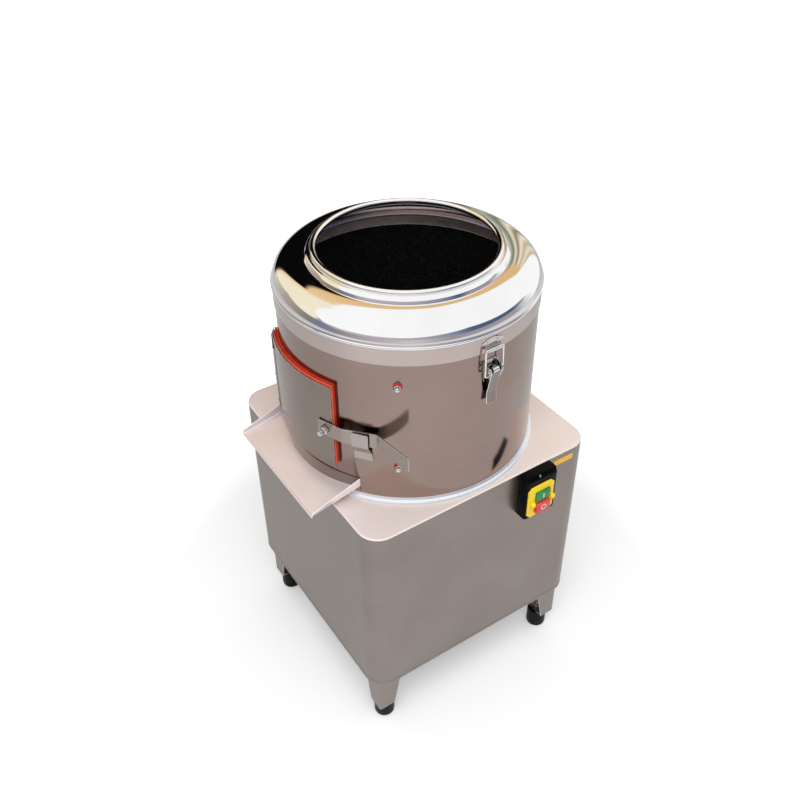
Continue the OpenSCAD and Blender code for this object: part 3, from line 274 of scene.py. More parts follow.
def piece(name, body, paint, grids, replaces=(), wall=0.0, edge=0.0, cut=None, rim=None):
    """One mesh from grids of points in the plan's millimetres. A grid is (points, rows close, columns close);
    wall gives an open sheet its thickness inwards, edge rounds its sharp edges, cut leaves out the faces whose
    middle points it marks, and rim is the material of the rounding, a pale painted edge highlight where given."""
    co, faces, start = [], [], 0
    for points, rows, columns in grids:
        n, m = points.shape[:2]
        at = start + np.arange(n * m).reshape(n, m)
        start += n * m
        if rows:
            at = np.vstack([at, at[:1]])
        if columns:
            at = np.hstack([at, at[:, :1]])
        faces.append(np.stack([at[:-1, :-1], at[1:, :-1], at[1:, 1:], at[:-1, 1:]], -1).reshape(-1, 4))
        co.append(points.reshape(-1, 3))
    co, faces = np.concatenate(co), np.concatenate(faces)
    if cut is not None:
        faces = faces[~cut(co[faces].mean(1))]
    mesh = bpy.data.meshes.new(name)
    mesh.from_pydata(((co + PLAN) * MM).tolist(), [], faces.tolist())
    work = bmesh.new()
    work.from_mesh(mesh)
    bmesh.ops.remove_doubles(work, verts=work.verts, dist=MERGE)
    bmesh.ops.delete(work, geom=[v for v in work.verts if not v.link_faces], context="VERTS")
    bmesh.ops.recalc_face_normals(work, faces=work.faces)
    work.to_mesh(mesh)
    work.free()
    mesh.shade_smooth()
    mesh.set_sharp_from_angle(angle=np.radians(SHARP))
    obj = bpy.data.objects.new(name, mesh)
    bpy.context.scene.collection.objects.link(obj)
    mesh.materials.append(paint[0])
    if wall:
        sheet = obj.modifiers.new("wall", "SOLIDIFY")
        sheet.thickness, sheet.offset, sheet.use_even_offset = wall * MM, -1, True
    if edge:
        round_off = obj.modifiers.new("edge", "BEVEL")
        round_off.width, round_off.segments, round_off.limit_method = edge * MM, 2, "ANGLE"
        round_off.angle_limit, round_off.harden_normals = np.radians(BEVEL_FROM), True
    if rim:
        mesh.materials.append(rim[0])
        round_off.material = 1
    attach(obj, body)
    if replaces:
        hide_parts(*replaces)
    return obj


def stood(columns, where):
    """Matrix of a lamp or camera whose three axes are the columns, stood at where."""
    return Matrix([[*row, at] for row, at in zip(np.stack(columns, 1), where)] + [[0, 0, 0, 1]])


# ---------- finishes ----------
def colour(code):
    """sRGB hex code to a linear colour: its lowest part over 12.92, the rest to the power of 2.4."""
    c = np.array([int(code[i:i + 2], 16) for i in (0, 2, 4)]) / 255
    return (*np.where(c <= 0.04045, c / 12.92, ((c + 0.055) / 1.055) ** 2.4), 1.0)


def node(tree, kind, wires=None, stops=None, **settings):
    """Adds a node: settings are its properties, wires its sockets' values or the sockets that feed them, and
    stops its ramp."""
    made = tree.nodes.new("ShaderNode" + kind)
    for key, value in settings.items():
        setattr(made, key, value)
    for key, value in (wires or {}).items():
        if isinstance(value, bpy.types.NodeSocket):
            tree.links.new(value, made.inputs[key])
        else:
            made.inputs[key].default_value = value
    if stops:
        ramp = made.color_ramp
        while len(ramp.elements) < len(stops):
            ramp.elements.new(0.5)
        for element, (place, tint) in zip(ramp.elements, stops):
            element.position, element.color = place, tint
    return made


def finish_of(name):
    """A new material's tree with its shader, and the object's own coordinates."""
    made = bpy.data.materials.new(name)
    made.use_nodes = True
    tree = made.node_tree
    shader = tree.nodes["Principled BSDF"]
    return made, tree, shader, node(tree, "TexCoord").outputs["Object"]


def look(tree, shader, tone, shine, bump, values):
    """Wires a tone, a roughness and a relief to the shader, and sets its even values by socket."""
    for made, socket in ((tone, "Base Color"), (shine, "Roughness"), (bump, "Normal")):
        tree.links.new(made.outputs[0], shader.inputs[socket])
    for socket, value in values.items():
        shader.inputs[socket].default_value = value


def grained_steel(name, slot, dark, light, rough, grain=(12, 12, 700), depth=0.03, smudge=0.05, metal=1.0):
    """Stainless sheet: fine grain drawn out along the sheet, a slow drift between two tones, and faint handling
    smudges. The grain is near 1.4 mm across, several times the real one, so that it shows. Metal under 1 lets a
    share of the light scatter, as on sheet that mirrors nothing."""
    made, tree, shader, place = finish_of(name)
    drawn = node(tree, "Mapping", {"Vector": place, "Scale": grain}).outputs[0]
    lines = node(tree, "TexNoise", {"Vector": drawn, "Scale": 1.0, "Detail": 4.0, "Roughness": 0.6})
    lines = lines.outputs["Fac"]
    cloud = node(tree, "TexNoise", {"Vector": place, "Scale": 9.0, "Detail": 3.0}).outputs["Fac"]
    cloud = node(tree, "Math", {0: cloud, 1: 0.65}, operation="MULTIPLY").outputs[0]
    both = node(tree, "Math", {0: lines, 1: 0.35, 2: cloud}, operation="MULTIPLY_ADD").outputs[0]
    tone = node(tree, "ValToRGB", {0: both}, [(0.3, colour(dark)), (0.7, colour(light))])
    shine = node(tree, "MapRange", {"Value": both, "From Min": 0.3, "From Max": 0.7,
                                    "To Min": rough - smudge, "To Max": rough + smudge})
    bump = node(tree, "Bump", {"Height": lines, "Strength": 0.5, "Distance": depth * MM})
    look(tree, shader, tone, shine, bump, {"Metallic": metal})
    return made, slot


def moulded(name, slot, dark, light, rough, texture=0.6, depth=0.05, ior=1.53, gloss=0.5):
    """Moulded rubber or plastic: a fine spark-eroded texture, a slow drift of tone and dulled patches."""
    made, tree, shader, place = finish_of(name)
    fine = node(tree, "TexNoise", {"Vector": place, "Scale": 1 / (texture * MM), "Detail": 2.0}).outputs["Fac"]
    slow = node(tree, "TexNoise", {"Vector": place, "Scale": 40.0, "Detail": 3.0}).outputs["Fac"]
    tone = node(tree, "ValToRGB", {0: slow}, [(0.35, colour(dark)), (0.65, colour(light))])
    shine = node(tree, "MapRange", {"Value": slow, "From Min": 0.3, "From Max": 0.7,
                                    "To Min": rough - 0.06, "To Max": rough + 0.06})
    bump = node(tree, "Bump", {"Height": fine, "Strength": 0.6, "Distance": depth * MM})
    look(tree, shader, tone, shine, bump, {"IOR": ior, "Specular IOR Level": gloss})
    return made, slot


def grit(name, slot, grain, dark, light, glint_tone):
    """Silicon carbide grit in a black resin: angular grains, most of them dull, a few with a glinting face whose
    glint is painted as a paler tone, beside its real lower roughness.
    """
    made, tree, shader, place = finish_of(name)
    cells = node(tree, "TexVoronoi", {"Vector": place, "Scale": 1 / (grain * MM), "Randomness": 1.0})
    pick = node(tree, "SeparateColor", {0: cells.outputs["Color"]}).outputs[0]
    tone = node(tree, "ValToRGB", {0: pick},
                [(0.0, colour(dark)), (0.9, colour(light)), (0.975, colour(glint_tone))])
    shine = node(tree, "MapRange", {"Value": pick, "From Min": 0.9, "From Max": 0.98,
                                    "To Min": 0.7, "To Max": 0.25})
    bump = node(tree, "Bump", {"Height": cells.outputs["Distance"], "Strength": 1.0,
                               "Distance": 0.5 * grain * MM}, invert=True)
    look(tree, shader, tone, shine, bump, {"Specular IOR Level": 0.3})
    return made, slot


# Cabinet and legs, sheet with a number 4 finish: grey with a warm cast, soft reflections without an outline
cabinet_steel = grained_steel("satin_stainless_sheet", "satin_steel", "8b817c", "9b928d", 0.34)
leg_steel = grained_steel("satin_leg_stainless", "satin_steel", "8f8580", "a39a95", 0.36)
# Worktop, ground with a fine belt along X: pale and even, a near-white tone with little metal that is painted
# light, the bright room its upward face mirrors
worktop_painted_light_steel = grained_steel("fine_ground_stainless_painted_light", "fine_steel", "f7e9e3", "fef3ef", 0.38,
                              (12, 900, 12), depth=0.004, smudge=0.03, metal=0.35)
# Chute, brushed along X: pale like the worktop, with a little more shine; the pale tone is painted light, as on
# the worktop
chute_painted_light_steel = grained_steel("brushed_chute_stainless_painted_light", "fine_steel", "eee2e4", "fbf1f2", 0.36,
                            (14, 700, 400), depth=0.01, smudge=0.04, metal=0.6)
# Drum, rolled sheet with a bright satin face: dark and warm, sharp enough to mirror the fittings on it
drum_steel = grained_steel("bright_rolled_stainless", "satin_steel", "917f77", "9d8b83", 0.14,
                           (10, 10, 500), depth=0.008, smudge=0.03)
# Door, the same sheet after handling: softer reflections
door_steel = grained_steel("rolled_door_stainless", "satin_steel", "8a7d75", "968a82", 0.2,
                           (10, 10, 500), depth=0.01, smudge=0.03)
# Band of the cover, rolled: lighter than the drum below it
skirt_steel = grained_steel("rolled_skirt_stainless", "fine_steel", "b8a9a5", "c4b6b1", 0.19,
                            (10, 10, 500), depth=0.01, smudge=0.03)
# Beads of drum and cover, buffed by hand: a bright line with a blurred glint, painted as a bluish near-white
# highlight
bead_highlight_steel = grained_steel("bead_stainless_painted_highlight", "polished_steel", "e4e8f0", "f4f8fb", 0.24,
                           (30, 30, 60), depth=0.004, smudge=0.03, metal=0.7)
# Dome, spun and buffed to a mirror: the room stands in it
mirror_steel = grained_steel("buffed_stainless", "polished_steel", "f2f2f2", "fafafa", 0.045,
                             (30, 30, 60), depth=0.004, smudge=0.02)
# Latches and hinge, stamped and tumbled: bright grey with small clear glints
fitting_steel = grained_steel("polished_stamped_stainless", "polished_steel", "c6c2c0", "d8d5d3", 0.14,
                              (40, 40, 300), depth=0.01, smudge=0.04)
# Bail and cap nuts, bright drawn wire and turned bar: nearly white where they catch the light
wire_steel = grained_steel("bright_drawn_wire", "polished_steel", "dcdcde", "ececee", 0.12,
                           (60, 60, 300), depth=0.004, smudge=0.03)
# Levers, stamped and polished: darker, a painted reflection of the drum that their flat faces mirror
lever_reflection_steel = grained_steel("lever_stainless_painted_reflection", "polished_steel", "857b75", "978d87", 0.2,
                            (60, 60, 10), depth=0.01, smudge=0.04)
# Latch bar, brushed flat bar: a lengthwise sheen with dark and bright parts
bar_steel = grained_steel("brushed_bar_stainless", "polished_steel", "958b85", "a69c96", 0.17,
                          (40, 40, 300), depth=0.01, smudge=0.04)
# Keeper, brushed upright before it was bent: matt and even
keeper_steel = grained_steel("matt_bent_stainless", "fine_steel", "a89e98", "bab1ab", 0.3,
                             (300, 300, 14), depth=0.02, smudge=0.05)
# Cut edges of sheet, deburred: a thin pale line round it, a painted highlight in a near-white, mostly matt tone
edge_highlight_paint = grained_steel("sheet_edge_painted_highlight", "fine_steel", "f6f3f1", "fdfcfb", 0.3,
                         (60, 60, 60), depth=0.004, smudge=0.04, metal=0.15)
# Inside of the drum, sheet as it left the mill: dull and faintly blotched
inside_steel = grained_steel("mill_finish_stainless", "satin_steel", "7d726d", "b3a8a2", 0.5,
                             (40, 40, 90), depth=0.05, smudge=0.08, metal=0.45)
# Zinc plate on screws, rivets and studs: cool grey, speckled
zinc = grained_steel("zinc_plated_steel", "zinc_steel", "a9adb3", "c3c6ca", 0.3,
                     (90, 90, 90), depth=0.03, smudge=0.08)
# Ground shaft and bearings: even grey with rings of fine grain
ground = grained_steel("ground_machine_steel", "ground_steel", "8f9296", "a9abae", 0.28,
                       (60, 60, 900), depth=0.02, smudge=0.06)
# Enamel on cast iron: slate grey, lumpy from the casting below
iron_paint = moulded("grey_machine_enamel", "painted_iron", "3f444a", "50565d", 0.42,
                     texture=2.5, depth=0.15, ior=1.5)
# Enamel on the inner frame's tubes: lighter grey, smoother
rail_enamel = moulded("grey_rail_enamel", "rail_paint", "55585c", "63676b", 0.45,
                      texture=2.0, depth=0.1, ior=1.5)
# Natural rubber of the feet, moulded: near black with hardly a sheen
foot_rubber = moulded("black_foot_rubber", "black_rubber", "080707", "0f0e0e", 0.38,
                      texture=0.8, depth=0.06, ior=1.52, gloss=0.14)
# Belt, wrapped in rubbered cloth: matt charcoal
belt_rubber = moulded("belt_rubber", "belt_rubber", "131313", "1f1f20", 0.7, texture=0.5, depth=0.1)
# Silicone of the washers and of the seal's base, moulded: brick red, waxy
red_silicone = moulded("red_silicone_rubber", "red_rubber", "ac2a18", "c03822", 0.4,
                       texture=0.8, depth=0.04, ior=1.43)
# Web between the seal's base and lip: dark red, a painted shade of the base and lip over it
web_shade_red = moulded("shaded_red_silicone", "red_rubber", "7d140c", "93200f", 0.45,
                   texture=0.8, depth=0.04, ior=1.43)
# Lip of the seal: brighter, towards orange, a painted lit copy of the same silicone
lit_lip_red = moulded("lit_red_silicone", "red_rubber", "cc4a30", "e25a3e", 0.38,
                  texture=0.8, depth=0.04, ior=1.43)
# Switch, moulded in ABS: a deep black case, and clean colours with a soft gloss
black_abs = moulded("black_abs", "black_plastic", "040407", "09090d", 0.3,
                    texture=0.5, depth=0.02, ior=1.53, gloss=0.07)
yellow_abs = moulded("yellow_abs", "yellow_plastic", "f8cf00", "ffdf0c", 0.34, texture=0.5, depth=0.03)
green_abs = moulded("green_abs", "green_plastic", "07783c", "0e9450", 0.3, texture=0.5, depth=0.02)
red_abs = moulded("red_abs", "red_plastic", "cf3a3a", "e04c48", 0.3, texture=0.5, depth=0.02)
# Pad print on the buttons: off-white and flat
mark_print = moulded("pale_pad_print", "yellow_plastic", "e2ded8", "f0ece6", 0.45, texture=0.3, depth=0.01)
# Vinyl film of the amber strip: an even orange yellow
amber_film = moulded("amber_vinyl_film", "yellow_plastic", "f8b41a", "ffc22c", 0.3, texture=0.4, depth=0.01)
# Grit on the disc: black with scattered glints, painted as a paler tone on a few grains
black_grit = grit("silicon_carbide_grit", "black_grit", 1.8, "050505", "17161a", "8d8fa0")
# Lining sheet: the same grit, finer and almost without painted glints
lining_grit = grit("fine_carbide_lining", "black_grit", 1.3, "030303", "0b0b0d", "34333a")

# ---------- camera ----------
yaw, pitch, roll = np.radians([56.975, -38.604, -0.722])
ahead = np.array([-np.sin(yaw) * np.cos(pitch), np.cos(yaw) * np.cos(pitch), np.sin(pitch)])
level = np.array([np.cos(yaw), np.sin(yaw), 0])
upright = np.cross(level, ahead)
right = level * np.cos(roll) + upright * np.sin(roll)
up = upright * np.cos(roll) - level * np.sin(roll)
SENSOR, FOCAL_PIXELS, PIXELS, EYE = 36, 908.08, 800, (0.96681, -0.64929, 1.4592)
camera_data = bpy.data.cameras.new("camera")
camera_data.sensor_width, camera_data.lens = SENSOR, SENSOR * FOCAL_PIXELS / PIXELS
camera = bpy.data.objects.new("camera", camera_data)
camera.matrix_world = stood([right, up, -ahead], EYE)
bpy.context.scene.collection.objects.link(camera)
bpy.context.scene.camera = camera

# ---------- cover ----------
# dome: a quarter of an ellipse from the band up to the lip, its foot beaded where it meets the band
DOME_R, DOME_Z, DOME_W, DOME_H, DOME_T = 150, 766.5, 51, 35.5, 1.2
dome_t = sweep(4, 90, 28)
dome_out = arc(DOME_R, DOME_Z, DOME_W, DOME_H, dome_t)
dome_in = arc(DOME_R, DOME_Z, DOME_W - DOME_T, DOME_H - DOME_T, dome_t)[::-1]
dome_bead = arc(200.6, 764.9, 2.4, 2.4, sweep(-60, 52, 12))
roll_r, roll_z = NECK_R + ROLL, RIM_TOP - ROLL
neck_roll = arc(roll_r, roll_z, ROLL, ROLL, sweep(-25, 240, 26))
neck_outer = bent([[151.5, 802.2], [149.7, 806], [147, 809.4], [143.4, 810.6], [142.2, 809.2]],
                  [0, 5, 5, 1.5, 0])
neck_inner = bent([[roll_r - 1, 807.2], [143, 806.4], [146, 801.2], [150, 800.8]], [0, 2, 2, 0])
cover_line = np.concatenate([[[200.2, 763.0]], dome_bead, dome_out, neck_outer, neck_roll, neck_inner, dome_in,
                             [[199.8, 765.0]]])
piece("cover_dome_spun", "cover", mirror_steel, [turned(joined(cover_line), steps=288)], ["cover_dome"])
# a thin ring at the neck's lower edge, whose pale tone paints a highlight line there
lip_line = circle(0.95, 14)[::-1] + (146.9, 800.7)
piece("cover_lip_highlight_bead", "cover", bead_highlight_steel, [turned(joined(lip_line), steps=240)])
# band: an upright strip with a flat ring over the drum's edge
skirt_line = np.concatenate([
    bent([[188.5, 760.2], [SKIRT_IN, 760.2], [SKIRT_IN, 736.2], [SKIRT_OUT, 736.2], [SKIRT_OUT, 763]],
         [0.3, 0.3, 0.5, 0.5, 0]),
    [[SKIRT_IN, 763], [SKIRT_IN, 761.4], [188.5, 761.4]]])
piece("cover_skirt_rolled", "cover", skirt_steel, [turned(joined(skirt_line), steps=288)], ["cover_skirt"])

# ---------- drum ----------
angles = np.unique(np.concatenate([np.arange(-180, 180, 1.25), [-WINDOW_A, WINDOW_A]]))
heights = np.unique(np.concatenate([[480.2, 484, 490], np.linspace(500, DRUM_TOP, 27), WINDOW_Z]))
shell = on_drum(angles[:, None], DRUM_R, heights[None])


def in_window(p, more=0.0):
    """Whether points lie in the side door's opening, by their angle and height."""
    a = np.degrees(np.arctan2(p[:, 0], DRUM_Y - p[:, 1]))
    return (np.abs(a) < WINDOW_A + more / 3) & (p[:, 2] > WINDOW_Z[0] - more) & (p[:, 2] < WINDOW_Z[1] + more)


drum = piece("drum_wall", "frame", drum_steel, [(shell, True, False)], ["drum_shell"],
             wall=DRUM_WALL, cut=in_window)
drum.data.materials.append(inside_steel[0])
drum.modifiers["wall"].material_offset = 1
# the drum's foot bead: its pale tone paints a highlight line round the drum's foot
foot_line = bent([[199.2, 480.1], [206.6, 480.1], [205.6, 483.2], [202.2, 486.2], [200.3, 489.4],
                  [199.2, 489.4]], [0.2, 0.8, 2.5, 3, 0.4, 0.2], 6)
piece("drum_foot_bead", "frame", bead_highlight_steel, [turned(joined(foot_line), steps=240)])

lining_angles = np.unique(np.concatenate([np.arange(-180, 180, 2.5), [-20, 20]]))
lining_rows = np.unique(np.concatenate([np.linspace(500, 740, 25), [540, 670]]))
piece("lining_grit_sheet", "frame", lining_grit,
      [(on_drum(lining_angles[:, None], 198.2, lining_rows[None]), True, False)],
      ["lining"], wall=5, edge=1.0, cut=lambda p: in_window(p, 3.0))
band_line = rectangle(2.6, 2.2, 0.9, 4) + (197.0, 739.4)
piece("lining_band", "frame", fitting_steel, [turned(joined(band_line), steps=240)])


def cap_nut(a, z):
    """Cap nut on the drum at angle a and height z: a hexagon, and a neck with a ball end about the bolt."""
    ball = arc(0, 207.4, 3.9, 3.9, np.linspace(0, np.pi / 2, 9))
    ball[-1, 0] = 0.0       # its pole, exactly on the axis
    neck = np.concatenate([[[0, 199], [3, 199], [3, 201], [3.9, 204.3]], ball])
    centre = on_drum(a, 0, z)
    return [turned(neck, centre, outward(a), Z, 28), nut(8.7, 201.5, 204.6, 0.5, centre, outward(a), Z)]


bolt_places = [(a, z) for a in BOLT_ANGLES for z in BOLT_HEIGHTS]
pad_line = [[3.2, 199.6], [6.4, 199.9], [7.0, 200.5], [6.9, 201.2], [6.3, 201.6], [3.2, 201.6]]
piece("lining_cap_nuts", "frame", wire_steel, [part for a, z in bolt_places for part in cap_nut(a, z)],
      ["lining_bolts"])
piece("lining_pads", "frame", red_silicone,
      [turned(joined(pad_line), on_drum(a, 0, z), outward(a), Z, 32) for a, z in bolt_places],
      ["lining_washers"])

# ---------- cabinet ----------
# worktop: rays from the drum's axis out to the outline, then its edge folded down by a quarter circle
FOLD = 2.2
DRAIN, DRAIN_R = np.array([105.0, 110.0]), 25.4
outline = spaced(rectangle(2 * HALF, 2 * HALF, CORNER, 10), 9, closed=True)
inward = inward_of(outline)
middle = np.array([0, DRUM_Y])
hole_line = middle + 32.4 * unit(outline - middle)
share = np.linspace(0, 1, 44)[:, None, None]
flat = hole_line * (1 - share) + (outline + FOLD * inward) * share
fold = sweep(0, 90, 7)[1:, None, None]
plate = np.concatenate([np.dstack([flat, np.full(flat.shape[:2], TOP)]),
                        np.dstack([outline + FOLD * (1 - np.sin(fold)) * inward,
                                   np.broadcast_to(TOP - FOLD + FOLD * np.cos(fold), (6, len(outline), 1))])])
# the drain pipe's hole: points near its circle are moved on to it, the faces inside it left out
from_drain = plate[..., :2] - DRAIN
distance = np.linalg.norm(from_drain, axis=-1, keepdims=True)
on_circle = DRAIN + from_drain / distance * DRAIN_R
plate[..., :2] = np.where(abs(distance - DRAIN_R) < 3.6, on_circle, plate[..., :2])
piece("worktop_folded", "frame", worktop_painted_light_steel, [(plate.swapaxes(0, 1), True, False)], ["top_plate"], wall=1.9,
      cut=lambda p: np.linalg.norm(p[:, :2] - DRAIN, axis=1) < DRAIN_R - 0.2)

hem = bent([[-0.05, 131], [0.45, 130.4], [0.45, 123.7], [-6, 123.7]], [0, 0.5, 1.5, 0], 6)
hem_grid = np.dstack([outline[:, None] - hem[None, :, :1] * inward[:, None],
                      np.broadcast_to(hem[None, :, 1:], (len(outline), len(hem), 1))])
piece("cabinet_hem", "frame", cabinet_steel, [(hem_grid, True, False)], wall=0.25)

# ---------- legs and feet ----------
# leg: an angle of 3 mm sheet whose two flanges widen from 30 at the tip to 47 at the cabinet
levels = np.linspace(LEG_TIP, CABINET_LOW, 12)
widths = 30 + 17 * (levels - LEG_TIP) / (CABINET_LOW - LEG_TIP)
angle_lines = [bent([[LEG_FACE - w, LEG_FACE], [LEG_FACE, LEG_FACE], [LEG_FACE, LEG_FACE - w]], [0, 3.5, 0], 8)
               for w in widths]
leg = np.stack([np.column_stack([line, np.full(len(line), z)]) for line, z in zip(angle_lines, levels)])
sole = bent([[0, 0], [14, 0], [17.6, 3.2], [18, 12], [17.9, 37], [17.2, 41.8], [0, 41.8]],
            [0, 2, 3, 6, 3, 1, 0], 6)
stud = bent([[0, 40], [5, 40], [5, 56.4], [4.4, 57], [0, 57]], [0, 0, 0.3, 0.3, 0], 3)
for fore, sy in (("front", -1), ("rear", 1)):
    for hand, sx in (("left", -1), ("right", 1)):
        where = fore + "_" + hand
        sign = np.array([sx, sy, 1.0])
        folded = [(points * sign, rows, columns) for points, rows, columns in thick(leg, 3.0)]
        plates = [slab(rectangle(width, width, 2), 0, 3, 0.5, (sx * at, sy * at, z), X, Y)
                  for width, at, z in ((30, 179.8, SEAT), (46, 174.5, CABINET_LOW - 3.1))]
        piece("leg_" + where + "_pressed", "frame", leg_steel, folded, ["leg_" + where], edge=0.5, rim=edge_highlight_paint)
        piece("leg_" + where + "_plates", "frame", leg_steel, plates)
        base = (sx * FOOT_AT, sy * FOOT_AT, 0)
        piece("foot_" + where + "_turned", "frame", foot_rubber, [turned(sole, base, steps=72)],
              ["foot_" + where])
        piece("foot_" + where + "_stud", "frame", zinc,
              [turned(stud, base, steps=28), nut(15.5, SEAT + 3, SEAT + 11, 0.7, base, Z, X)])

# ---------- door ----------
door_z = DOOR_LOW + stations(DOOR_HIGH - DOOR_LOW, 2.0, 22)
draw = np.degrees(end_in(door_z, DOOR_LOW, DOOR_HIGH, 2.0) / 208.0)
door = on_drum(np.linspace(-1, 1, 41)[:, None] * (DOOR_A - draw)[None], DOOR_R, door_z[None])
piece("door_sheet", "door", door_steel, thick(door, SHEET), ["door_panel"], edge=0.6, rim=edge_highlight_paint)


def seal(r_low, r_high, groove):
    """Ring round the window: a closed profile of share across the ring and radius, carried round both its
    outlines at once. Both outlines have eight points to each of their own, spread evenly between them."""
    loops = []
    for a, low, high, r in ((25.7, 539, 686, 2.6), (WINDOW_A, *WINDOW_Z, 2.0)):
        w = np.radians(a) * SEAL_R
        loop = bent([[-w, low], [w, low], [w, high], [-w, high]], r, 9, closed=True)
        at = np.linspace(0, len(loop), 8 * len(loop), endpoint=False)
        own = np.arange(len(loop) + 1)
        loops.append(np.stack([np.interp(at, own, np.append(loop[:, k], loop[0, k])) for k in (0, 1)], 1))
    outer, inner = loops
    chamfer = 0.5
    profile = np.array([[1, r_low], [groove + 0.02, r_low], [groove, r_low + chamfer],
                        [groove, r_high - chamfer], [groove + 0.02, r_high], [1, r_high], [1, r_low]])
    across = outer[:, None] * (1 - profile[None, :, :1]) + inner[:, None] * profile[None, :, :1]
    return on_drum(np.degrees(across[..., 0] / SEAL_R), profile[None, :, 1], across[..., 1])


# the seal in one silicone: the base in its plain tone, the lip as a painted lit copy, the web as a painted shaded
# copy
for part, paint, r_low, r_high, groove, replaced in (
        ("base", red_silicone, 200.35, 204.2, 0.0, ["door_gasket"]),
        ("lip", lit_lip_red, 205.4, 207.28, 0.0, ()),
        ("web", web_shade_red, 204.2, 205.4, 0.12, ())):
    piece("door_seal_" + part, "door", paint, [(seal(r_low, r_high, groove), True, False)], replaced)

# ---------- hinge ----------
hinge_at = on_drum(HINGE_A, 208, 0)
third = HINGE_H / 3
knuckle = bent([[2.4, 0.2], [4.25, 0.2], [4.25, third - 0.2], [2.4, third - 0.2], [2.4, 0.2]],
               [0, 0.5, 0.5, 0, 0], 4)
for name, body, thirds, replaced in (("hinge_fixed_knuckles", "frame", (0, 2), "hinge_fixed_leaf"),
                                     ("hinge_door_knuckle", "door", (1,), "hinge_door_leaf")):
    piece(name, body, fitting_steel,
          [turned(knuckle, hinge_at + (0, 0, HINGE_LOW + i * third), steps=36) for i in thirds], [replaced])
leaf_z = HINGE_LOW + stations(HINGE_H, 2.0, 12)
fixed = on_drum(np.linspace(-34.5, -30.6, 7)[:, None], 201.5, leaf_z[None])
piece("hinge_fixed_plate", "frame", bar_steel, thick(fixed, SHEET), edge=0.5)
for i in (0, 2):
    z = np.array([HINGE_LOW + i * third + 1, HINGE_LOW + (i + 1) * third - 1])
    web = np.stack([on_drum(-30.7, r, z) for r in (201.0, 203.0, 206.5)])
    piece("hinge_web_%d" % i, "frame", fitting_steel, thick(web, SHEET, SHEET / 2))
swung = on_drum(np.linspace(-28.6, -19, 12)[:, None], 210.3, leaf_z[None])
piece("hinge_door_plate", "door", bar_steel, thick(swung, SHEET), edge=0.5)
rivet = bent([[0, 1.4], [1.5, 1.4], [2.3, 0.2], [2.3, -0.5], [0, -0.5]], [0, 0.6, 0.3, 0, 0], 4)
for name, body, a, r in (("hinge_fixed_rivets", "frame", -33.2, 201.4),
                         ("hinge_door_rivets", "door", -22.5, 210.2)):
    piece(name, body, zinc, [turned(rivet, on_drum(a, r, z), outward(a), Z, 20) for z in (554, 605, 656)])
arm = on_drum(np.linspace(-29.6, -28.6, 3)[:, None], 210.6,
              (HINGE_LOW + third + 0.4 + stations(third - 0.8, 1, 3))[None])
piece("hinge_door_arm", "door", fitting_steel, thick(arm, SHEET))
pin = bent([[0, 545.5], [3.2, 545.5], [3.75, 546.2], [3.4, 546.9], [2.25, 547], [2.25, 663], [3.4, 663.1],
            [3.75, 663.8], [3.2, 664.5], [0, 664.5]], [0, 0.4, 0.3, 0.2, 0, 0, 0.2, 0.3, 0.4, 0], 3)
piece("hinge_pin_turned", "frame", fitting_steel, [turned(pin, hinge_at, steps=28)], ["hinge_pin"])


# ---------- door latch ----------
def on_face(t, r):
    """Point in the flat face that the pivot bolt clamps: t along it, r from the drum's axis."""
    a = np.radians(PIVOT_A)
    return on_drum(PIVOT_A, r, 0)[:2] + t * np.array([np.cos(a), np.sin(a)])


# bar: flat at the bolt, bent out to a knee, then a straight tail that heads a little off the X axis
knee = on_drum(44, 208.5, 0)[:2]
heading = np.radians(8)
tail = knee + 69 * np.array([np.cos(heading), np.sin(heading)])
bar_path = spaced(bent([on_face(-15, 210.8), on_face(29, 210.8), knee, tail], [0, 7, 9, 0], 9), 4)
bar_s = stations(run_of(bar_path)[-1], 3.0, 60)
bar_line = along(bar_path, bar_s)
bar_half = BAR_HALF - end_in(bar_s, 0, bar_s[-1], 3.0)
bar = grid(bar_line[:, :1], bar_line[:, 1:], PIVOT_Z + bar_half[:, None] * np.linspace(-1, 1, 9)[None])
piece("latch_bar_bent", "latch", bar_steel, thick(bar, 2.0, 1.0), ["latch_bar"], edge=0.9, rim=edge_highlight_paint)

bolt_at = (on_drum(PIVOT_A, 0, PIVOT_Z), outward(PIVOT_A), Z)
spacer = bent([[0, 205.4], [5.2, 205.4], [5.2, 208.8], [7, 208.8], [7, 209.5], [4, 209.5], [4, 218], [0, 218]],
              0.15, 3)
stem = bent([[0, 217], [5.6, 217], [5.6, 218.6], [4.7, 219.2], [4.7, 223.6], [4, 224.4], [4, 226.2],
             [3.2, 227.1], [0, 227.1]], [0, 0.3, 0.3, 0.3, 0.3, 0.3, 0.3, 0.2, 0], 3)
piece("latch_pivot_bolt", "door", fitting_steel,
      [turned(spacer, *bolt_at, 32), turned(stem, *bolt_at, 32), nut(12.4, 212.15, 218.1, 0.8, *bolt_at)],
      ["latch_pivot"])

# keeper: a strip up the drum, leaned out and up again; its foot on the drum is wider
hook = spaced(bent([[200.9, 560], [200.9, 574.5], [212.8, 592.5], [212.8, 617]], [0, 4, 5, 0], 7), 2.5)
hook_s = stations(run_of(hook)[-1], 2.0, 26)
hook_line = along(hook, hook_s)
hook_half = BAR_HALF - end_in(hook_s, 0, hook_s[-1], 2.0) + 1.6 * np.clip((576 - hook_line[:, 1]) / 3, 0, 1)
keeper = grid(hook_half[:, None] * np.linspace(-1, 1, 7), hook_line[:, :1], hook_line[:, 1:])
piece("keeper_bent", "frame", keeper_steel, at_side(thick(keeper, 2.0, 1.0), KEEPER_A), ["keeper"],
      edge=0.8, rim=edge_highlight_paint)

